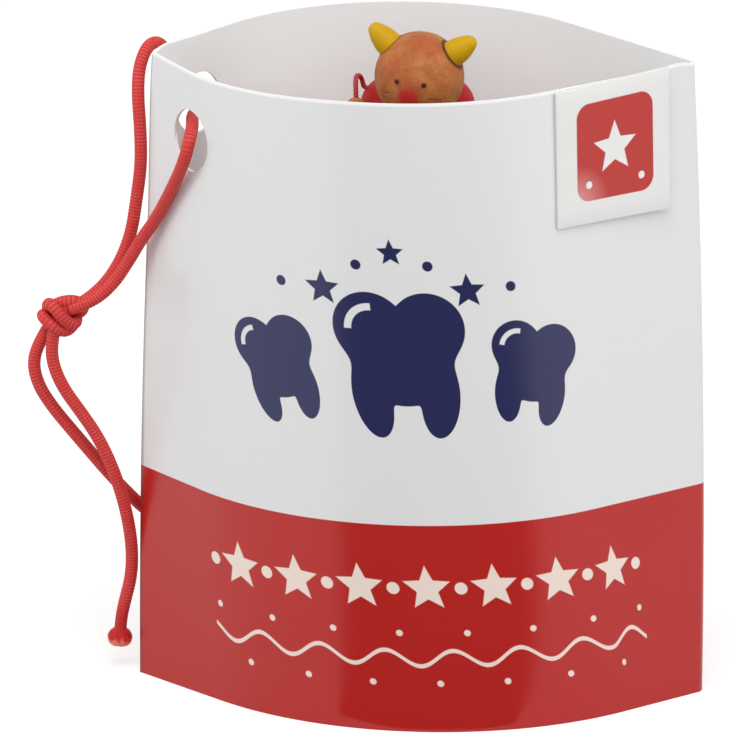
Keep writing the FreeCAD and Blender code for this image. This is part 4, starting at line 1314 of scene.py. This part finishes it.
def make_melted_end(cord, name, route, node, material):
    """A ball pressed to a mushroom at the cord's end, with a ragged lower side."""
    points = in_metres(route)
    end = points[-1]

    def uneven(place, depth, scale, shift):
        return 1 + depth * noise.noise(Vector(place) * scale + end * shift)

    obj = ball(1, 48, 32)
    pale_and_lit = obj.data.attributes.new("melt", "FLOAT", "POINT")
    for vertex, melt in zip(obj.data.vertices, pale_and_lit.data):
        x, y, z = vertex.co
        # The share towards the tip, which the finish paints paler: thin melt and painted light
        melt.value = (z + 1) / 2
        square = MELT_SQUARE[z > 0]
        full = (math.hypot(x, y) ** square + abs(z) ** square) ** (-1 / square)
        taper = 1 - MELT_TAPER * max(0.0, -z) ** 2
        wide = cord.melt_radius * MELT_FILL[0] * full * taper * uneven((x, y, z), *MELT_LUMPS)
        tall = cord.melt_length * MELT_FILL[1] * full
        if z > RAGGED_FROM:
            tall *= uneven((x, y, 0), *MELT_RAGS)
        vertex.co = (x * wide, y * wide, z * tall)
    settle(obj, along_axis(end, (end - points[-2]).normalized()))
    smooth(obj, 80)
    return dress(obj, name, "sleeve", "elastic", [material], node)


def tell_cord(line):
    """Measure a cord's length along its line; the length is not kept."""
    line_length(line)


def turned_piece(outline, steps=96):
    """A solid of revolution about Z: a wire drawn corner by corner from the axis, then spun round it."""
    start_fresh()
    bpy.ops.mesh.primitive_plane_add(size=MM)
    obj = bpy.context.active_object
    open_mesh(obj)
    bpy.ops.mesh.merge(type="CENTER")
    here = Vector((0, 0, 0))
    for i, (radius, height) in enumerate(outline):
        there = Vector((radius, 0, height))
        if i:
            bpy.ops.mesh.extrude_vertices_move(TRANSFORM_OT_translate={"value": there - here})
        else:
            bpy.ops.transform.translate(value=there)
        here = there
    bpy.ops.mesh.select_all(action="SELECT")
    bpy.ops.mesh.spin(steps=steps, angle=FULL_TURN, center=(0, 0, 0), axis=(0, 0, 1))
    close_mesh()
    mend_mesh(obj)
    return obj


def round_ring(obj, radius, height, setback, segments=7):
    """Round the circular edge of a turned piece at a radius and height."""
    open_mesh(obj, "EDGE")
    bpy.ops.mesh.select_all(action="DESELECT")
    mesh = bmesh.from_edit_mesh(obj.data)
    slack = MM / 100

    def on_ring(vertex):
        return abs(vertex.co.xy.length - radius) < slack and abs(vertex.co.z - height) < slack

    ring = [edge for edge in mesh.edges if all(on_ring(vertex) for vertex in edge.verts)]
    if not ring:
        raise RuntimeError("no edge to round at this radius and height")
    for edge in ring:
        edge.select_set(True)
    bmesh.update_edit_mesh(obj.data)
    bpy.ops.mesh.bevel(offset=setback, segments=segments, affect="EDGES", clamp_overlap=False)
    close_mesh()


def make_cup(pot):
    """The turned cup with its round hollow."""
    outline = [
        (0, 0),
        (pot.radius, 0),
        (pot.radius, pot.height),
        (pot.hollow, pot.height),
        (pot.hollow, pot.floor),
        (0, pot.floor),
    ]
    obj = turned_piece(outline, POT_STEPS)
    round_ring(obj, pot.radius, 0, pot.foot_round)
    round_ring(obj, pot.hollow, pot.floor, pot.hollow_round)
    for radius in (pot.radius, pot.hollow):
        round_ring(obj, radius, pot.height, pot.rim_round, 4)
    axis = Vector((0, pot.axis_y, 0))
    settle(obj, Matrix.Translation(axis))
    smooth(obj)
    return dress(obj, "turned_cup", "pot", "bare_wood", [turned_wood(pot, axis)], "pot_cup")


def make_lid(pot, figure):
    """The turned lid with its spigot and the hole for the figure's dowel."""
    outline = [
        (0, -pot.spigot_height),
        (pot.spigot_radius, -pot.spigot_height),
        (pot.spigot_radius, 0),
        (pot.radius, 0),
        (pot.radius, pot.lid_height),
        (0, pot.lid_height),
    ]
    obj = turned_piece(outline, POT_STEPS)
    round_ring(obj, pot.radius, pot.lid_height, pot.lid_top_round, 10)
    round_ring(obj, pot.radius, 0, pot.lid_edge_round, 4)
    round_ring(obj, pot.spigot_radius, -pot.spigot_height, pot.spigot_round, 4)
    axis = Vector((0, pot.axis_y, 0))
    settle(obj, Matrix.Translation(axis + UP * pot.lid_seat))
    top = pot.lid_seat + pot.lid_height
    hole_floor = Vector((figure.across, figure.depth, top - DOWEL_DEPTH))
    cut(obj, drill(DOWEL_HOLE, hole_floor, UP, DOWEL_DEPTH + OVERCUT))
    smooth(obj)
    return dress(obj, "turned_lid", "lid_figure", "bare_wood", [turned_wood(pot, axis)], "lid")


def box_middle(node):
    """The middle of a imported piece's box."""
    low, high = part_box(node)
    return (low + high) / 2


def head_place(figure):
    """The head's own place: at its centre, turned and tilted as the figure holds it."""
    turn = Matrix.Rotation(figure.head_yaw, 4, "Z") @ Matrix.Rotation(figure.head_roll, 4, "Y")
    return Matrix.Translation(box_middle("head")) @ turn


def ear_place(figure, side):
    """An ear's place: at its socket's floor, with Z along the ear."""
    turn = Matrix.Rotation(side * figure.ear_splay, 4, "Y")
    return head_place(figure) @ turn @ Matrix.Translation((0, 0, figure.ear_socket))


def neck_axis(figure):
    """The way from the body to the head."""
    rise = math.cos(figure.neck_tilt)
    lean = figure.neck_lean
    return Vector((rise * math.sin(lean), -math.sin(figure.neck_tilt), rise * math.cos(lean)))


def arm_place(figure):
    """The arm hole's place: at its middle on the body's axis, with X along the hole."""
    height = figure.foot_height + figure.body_height - figure.arm_drop
    middle = Matrix.Translation((figure.across, figure.depth, height))
    return middle @ Matrix.Rotation(figure.arm_slope, 4, "Y")


def arm_route(figure):
    """The arms' control points, from hand to hand."""
    return [arm_place(figure) @ offset for offset in in_metres(ARM_ROUTE)]


def ball(radius, segments=96, rings=64):
    start_fresh()
    bpy.ops.mesh.primitive_uv_sphere_add(segments=segments, ring_count=rings, radius=radius)
    return bpy.context.active_object


def make_body(figure):
    """The turned body with the head's seat, the arm hole and the dowel's hole."""
    foot, top, height = figure.body_foot, figure.body_top, figure.body_height
    obj = turned_piece([(0, 0), (foot, 0), (top, height), (0, height)])
    flare = math.atan2(foot - top, height)
    round_ring(obj, foot, 0, figure.foot_round / math.tan(math.pi / 4 - flare / 2), 8)
    round_ring(obj, top, height, figure.shoulder / math.tan(math.pi / 4 + flare / 2), 12)
    base = Vector((figure.across, figure.depth, figure.foot_height))
    settle(obj, Matrix.Translation(base))
    seat = ball(figure.head_radius + SEAT_GAP)
    settle(seat, Matrix.Translation(head_place(figure).translation))
    cut(obj, seat)
    arm_hole = arm_place(figure)
    side = arm_hole.to_3x3() @ Vector((1, 0, 0))
    start = arm_hole.translation - side * 2 * foot
    cut(obj, drill(figure.arm_radius + THREAD_GAP, start, side, 4 * foot, 24))
    cut(obj, drill(DOWEL_HOLE, base - UP * OVERCUT, UP, OVERCUT + DOWEL_DEPTH))
    smooth(obj)
    finish = lacquer("red_lacquer", figure.body_red, BODY_DEEP, 0.52)
    return dress(obj, "painted_body", "lid_figure", "red_lacquer", [finish], "figure_body")


def make_head(figure):
    """The ball head with its ear sockets and the neck dowel's hole."""
    place = head_place(figure)
    obj = ball(figure.head_radius)
    settle(obj, place)
    socket_depth = figure.head_radius - figure.ear_socket
    for side in (-1, 1):
        ear = ear_place(figure, side)
        axis = ear.to_3x3() @ UP
        socket = figure.ear_base + GLUED_GAP
        cut(obj, drill(socket, ear.translation, axis, socket_depth + OVERCUT))
    axis = neck_axis(figure)
    start = place.translation - axis * (figure.head_radius + OVERCUT)
    cut(obj, drill(NECK_HOLE, start, axis, OVERCUT + NECK_DEPTH))
    smooth(obj, 40)
    finish = painted_head(figure, place)
    return dress(obj, "ball_head", "lid_figure", "stained_wood", [finish], "head")


def make_ears(figure):
    """An ear turned with a straight foot, a full flank and a rounded tip, copied, one for each socket."""
    base, tip, shank = figure.ear_base, figure.ear_tip, figure.ear_shank
    hub = figure.ear_length - tip
    rise = hub - shank
    flank = (base**2 + rise**2 - tip**2) / (2 * (base - tip))
    aim = math.atan2(rise, flank - base)
    steps = [i / EAR_ARC_STEPS for i in range(EAR_ARC_STEPS)]
    turns = [aim * step for step in steps]
    arc = [(base - flank + flank * math.cos(a), shank + flank * math.sin(a)) for a in turns]
    turns = [aim + (math.pi / 2 - aim) * step for step in steps]
    arc += [(tip * math.cos(a), hub + tip * math.sin(a)) for a in turns]
    ear = turned_piece([(0, 0), (base, 0), *arc, (0, figure.ear_length)], EAR_STEPS)
    finish = lacquer("yellow_lacquer", figure.ear_yellow, EAR_DEEP, 0.45)
    for obj, way, side in ((ear, -1, "left"), (copied(ear), 1, "right")):
        settle(obj, ear_place(figure, way) @ Matrix.Translation((0, 0, GLUED_GAP)))
        smooth(obj)
        dress(obj, f"{side}_cone_ear", "lid_figure", "yellow_lacquer", [finish], f"{side}_ear")


def make_hand(figure, side, cord_end, cord_next, finish):
    """A bead with a blind bore in line with the arm thread's end."""
    node = f"{side}_hand"
    centre = box_middle(node)
    centre.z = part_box(node)[0].z + figure.hand_radius
    obj = ball(figure.hand_radius, 48, 32)
    settle(obj, Matrix.Translation(centre))
    axis = (cord_next - cord_end).normalized()
    bore = figure.arm_radius + GLUED_GAP
    cut(obj, drill(bore, centre + axis * HAND_BORE_FLOOR, axis, figure.hand_radius + OVERCUT, 24))
    smooth(obj, 40)
    return dress(obj, f"{side}_bead_hand", "lid_figure", "stained_wood", [finish], node)


def make_feet(figure, finish):
    """A bead with a flat underside, copied, one on each side in front of the body."""
    foot = ball(figure.foot_radius, 64, 48)
    flat = (0, 0, figure.foot_flat - figure.foot_radius)
    open_mesh(foot)
    bpy.ops.mesh.bisect(plane_co=flat, plane_no=-UP, use_fill=True, clear_outer=True)
    close_mesh()
    mend_mesh(foot)
    add_modifier(foot, "BEVEL", width=FOOT_EDGE, segments=3, limit_method="ANGLE")
    for obj, side in ((foot, "left"), (copied(foot), "right")):
        node = f"{side}_foot"
        centre = box_middle(node)
        centre.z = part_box(node)[1].z - figure.foot_radius
        settle(obj, Matrix.Translation(centre))
        smooth(obj, 40)
        dress(obj, f"{side}_bead_foot", "lid_figure", "stained_wood", [finish], node)


def make_arms(figure):
    """The twisted thread through the shoulders, from hand to hand, and the line that it follows."""
    points = cord_line(arm_route(figure), ARM_LINE_STEPS)
    tubes = Tubes()
    tubes.add(points, figure.arm_radius, THREAD_RELIEF, THREAD_SIDES, twist_height)
    finish = arm_thread_finish(figure)
    obj = dress(tubes.make(), "arm_thread", "lid_figure", "arm_thread", [finish], "arm_cord")
    return obj, points


class ToothPotOperator:
    """What all the operators of this add-on share."""

    bl_options = {"REGISTER", "UNDO"}

    @property
    def settings(self):
        return bpy.context.scene.tooth_pot


class TOOTHPOT_OT_sleeve(ToothPotOperator, bpy.types.Operator):
    """Model the printed card sleeve with its punched holes"""

    bl_idname = "toothpot.sleeve"
    bl_label = "Card sleeve"

    def execute(self, context):
        make_sleeve(self.settings.sleeve)
        return {"FINISHED"}


class TOOTHPOT_OT_label(ToothPotOperator, bpy.types.Operator):
    """Model the square paper label"""

    bl_idname = "toothpot.label"
    bl_label = "Paper label"

    def execute(self, context):
        make_label(self.settings.sleeve)
        return {"FINISHED"}


class TOOTHPOT_OT_cord(ToothPotOperator, bpy.types.Operator):
    """Model the braided hang cord, its knot, its two tails and their melted ends"""

    bl_idname = "toothpot.cord"
    bl_label = "Hang cord"

    def execute(self, context):
        cord = self.settings.cord
        yarn, melt = braided_elastic(cord), melted_elastic(cord)
        hang, hang_line = make_cord(cord, "braided_hang_cord", HANG_ROUTE, "hang_cord", yarn)
        routes = (("front", FRONT_TAIL_ROUTE), ("rear", REAR_TAIL_ROUTE))
        tails = []
        for side, route in routes:
            tails.append(make_cord(cord, f"braided_{side}_tail", route, f"{side}_tail", yarn, True))
        knot = make_knot(cord, yarn)
        ends = []
        for side, route in routes:
            ends.append(make_melted_end(cord, f"melted_{side}_end", route, f"{side}_tail_end", melt))
        tell_cord(hang_line)
        for (tail, line), end in zip(tails, ends):
            tell_cord(line)
        return {"FINISHED"}


class TOOTHPOT_OT_pot(ToothPotOperator, bpy.types.Operator):
    """Model the turned cup and its lid"""

    bl_idname = "toothpot.pot"
    bl_label = "Pot and lid"

    def execute(self, context):
        make_cup(self.settings.pot)
        make_lid(self.settings.pot, self.settings.figure)
        return {"FINISHED"}


class TOOTHPOT_OT_body(ToothPotOperator, bpy.types.Operator):
    """Model the figure's turned body and finish its dowels"""

    bl_idname = "toothpot.body"
    bl_label = "Figure's body"

    def execute(self, context):
        make_body(self.settings.figure)
        dowel_wood = turned_wood(self.settings.pot, Vector((0, 0, 0)))
        for name in ("body_dowel", "neck_dowel"):
            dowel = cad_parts[name]
            dowel.data.materials.clear()
            dowel.data.materials.append(dowel_wood)
        return {"FINISHED"}


class TOOTHPOT_OT_head(ToothPotOperator, bpy.types.Operator):
    """Model the ball head and both ears"""

    bl_idname = "toothpot.head"
    bl_label = "Head and ears"

    def execute(self, context):
        make_head(self.settings.figure)
        make_ears(self.settings.figure)
        return {"FINISHED"}


class TOOTHPOT_OT_limbs(ToothPotOperator, bpy.types.Operator):
    """Model the arm thread, the hand beads and the foot beads"""

    bl_idname = "toothpot.limbs"
    bl_label = "Arms, hands and feet"

    def execute(self, context):
        figure = self.settings.figure
        wood = stained_wood(figure)
        route = arm_route(figure)
        hands = [
            make_hand(figure, "left", route[0], route[1], wood),
            make_hand(figure, "right", route[-1], route[-2], wood),
        ]
        make_feet(figure, wood)
        arms, line = make_arms(figure)
        tell_cord(line)
        return {"FINISHED"}


def floor_plane(name, corners, height):
    """A flat stage piece from its corners."""
    mesh = bpy.data.meshes.new(name)
    mesh.from_pydata([(x, y, height) for x, y in corners], [], [tuple(range(len(corners)))])
    obj = linked(name, mesh)
    return obj


def area_light(name, watts, size, place):
    """A round light that aims at the object."""
    light = bpy.data.lights.new(name, "AREA")
    light.shape = "DISK"
    light.size = size
    light.energy = watts
    obj = linked(name, light)
    obj.location = place
    obj.rotation_euler = (LIT_POINT - Vector(place)).to_track_quat("-Z", "Y").to_euler()


def in_view(tree):
    """1 on a ray of the camera, a reflection or a transmission, and 0 on a ray that carries light."""
    path = tree.nodes.new("ShaderNodeLightPath")
    camera, glossy, through = (
        Field(tree, path.outputs[f"Is {kind} Ray"]) for kind in ("Camera", "Glossy", "Transmission")
    )
    return camera.higher(glossy).higher(through)


def make_floor(stage):
    """A floor that is white in view and keeps its shadows, and a dark card that only reflections see."""
    reach = FLOOR_REACH
    corners = [(-reach, -reach), (reach, -reach), (reach, reach), (-reach, reach)]
    floor = floor_plane("studio_floor", corners, 0)
    finish = Finish("studio_floor", 0.0)
    mottle = finish.grain(3, 2)
    finish.colour(finish.mix(mottle.ranged(0, 0.02), stage.floor, FLOOR_PALE))
    finish.roughness(0.9)
    finish.feed(finish.shader.inputs["Emission Color"], (1, 1, 1, 1))
    finish.feed(finish.shader.inputs["Emission Strength"], in_view(finish.tree) * stage.floor_glow)
    floor.data.materials.append(finish.material)
    flag = floor_plane("dark_flag", FLAG_CORNERS, FLAG_HEIGHT)
    shade = Finish("dark_flag", 0.0)
    shade.colour((0, 0, 0, 1))
    shade.roughness(1.0)
    flag.data.materials.append(shade.material)
    flag.visible_camera = False
    flag.visible_diffuse = False
    flag.visible_transmission = False
    flag.visible_shadow = False


def make_world(stage):
    """Even light all round, and white where the camera or a reflection sees past the floor."""
    world = bpy.data.worlds.new("studio")
    bpy.context.scene.world = world
    world.use_nodes = True
    tree = world.node_tree
    light = tree.nodes["Background"]
    light.inputs["Color"].default_value = (1, 1, 1, 1)
    level = in_view(tree) * (1 - stage.world_level) + stage.world_level
    tree.links.new(level.socket, light.inputs["Strength"])


def make_camera(stage):
    """The camera, far off with a long lens."""
    around, rise = stage.azimuth, stage.elevation
    level = Vector((math.sin(around), -math.cos(around), 0)) * math.cos(rise)
    back = level + UP * math.sin(rise)
    right = Vector((math.cos(around), math.sin(around), 0))
    up = back.cross(right)
    target = Vector((0, stage.target_y, stage.target_z))
    target += right * stage.slide_right + up * stage.slide_up
    camera = bpy.data.cameras.new("camera")
    camera.lens = stage.lens
    camera.sensor_width = SENSOR_WIDTH
    obj = linked("camera", camera)
    turn = Matrix((right, up, back)).transposed() @ Matrix.Rotation(stage.roll, 3, "Z")
    obj.matrix_world = Matrix.Translation(target + back * stage.distance) @ turn.to_4x4()
    bpy.context.scene.camera = obj


class TOOTHPOT_OT_stage(ToothPotOperator, bpy.types.Operator):
    """Set the floor, the lights, the world and the camera"""

    bl_idname = "toothpot.stage"
    bl_label = "Stage"

    def execute(self, context):
        stage = self.settings.stage
        make_floor(stage)
        make_world(stage)
        area_light("high_front", stage.key_power, KEY_SIZE, KEY_PLACE)
        across, depth, height = SIDE_PLACE
        area_light("left_side", stage.side_power, SIDE_SIZE, (-across, depth, height))
        area_light("right_side", stage.side_power, SIDE_SIZE, (across, depth, height))
        make_camera(stage)
        context.scene.view_settings.view_transform = "Standard"
        return {"FINISHED"}


OPERATORS = (
    TOOTHPOT_OT_sleeve,
    TOOTHPOT_OT_label,
    TOOTHPOT_OT_cord,
    TOOTHPOT_OT_pot,
    TOOTHPOT_OT_body,
    TOOTHPOT_OT_head,
    TOOTHPOT_OT_limbs,
    TOOTHPOT_OT_stage,
)


class TOOTHPOT_PT_pieces(bpy.types.Panel):
    """The tooth pot's pieces, in the order in which they are made"""

    bl_idname = "TOOTHPOT_PT_pieces"
    bl_label = "Tooth pot"
    bl_space_type = "VIEW_3D"
    bl_region_type = "UI"
    bl_category = "Tooth pot"

    def draw(self, context):
        for operator in OPERATORS:
            self.layout.operator(operator.bl_idname)


CLASSES = (
    SleeveSettings,
    CordSettings,
    PotSettings,
    FigureSettings,
    StageSettings,
    ToothPotSettings,
    *OPERATORS,
    TOOTHPOT_PT_pieces,
)


def register():
    for cls in CLASSES:
        bpy.utils.register_class(cls)
    bpy.types.Scene.tooth_pot = PointerProperty(type=ToothPotSettings)


def unregister():
    del bpy.types.Scene.tooth_pot
    for cls in reversed(CLASSES):
        bpy.utils.unregister_class(cls)


def main():
    register()
    bpy.ops.toothpot.sleeve()
    bpy.ops.toothpot.label()
    bpy.ops.toothpot.cord()
    bpy.ops.toothpot.pot()
    bpy.ops.toothpot.body()
    bpy.ops.toothpot.head()
    bpy.ops.toothpot.limbs()
    bpy.ops.toothpot.stage()
    bpy.context.view_layer.update()


if __name__ == "__main__":
    main()
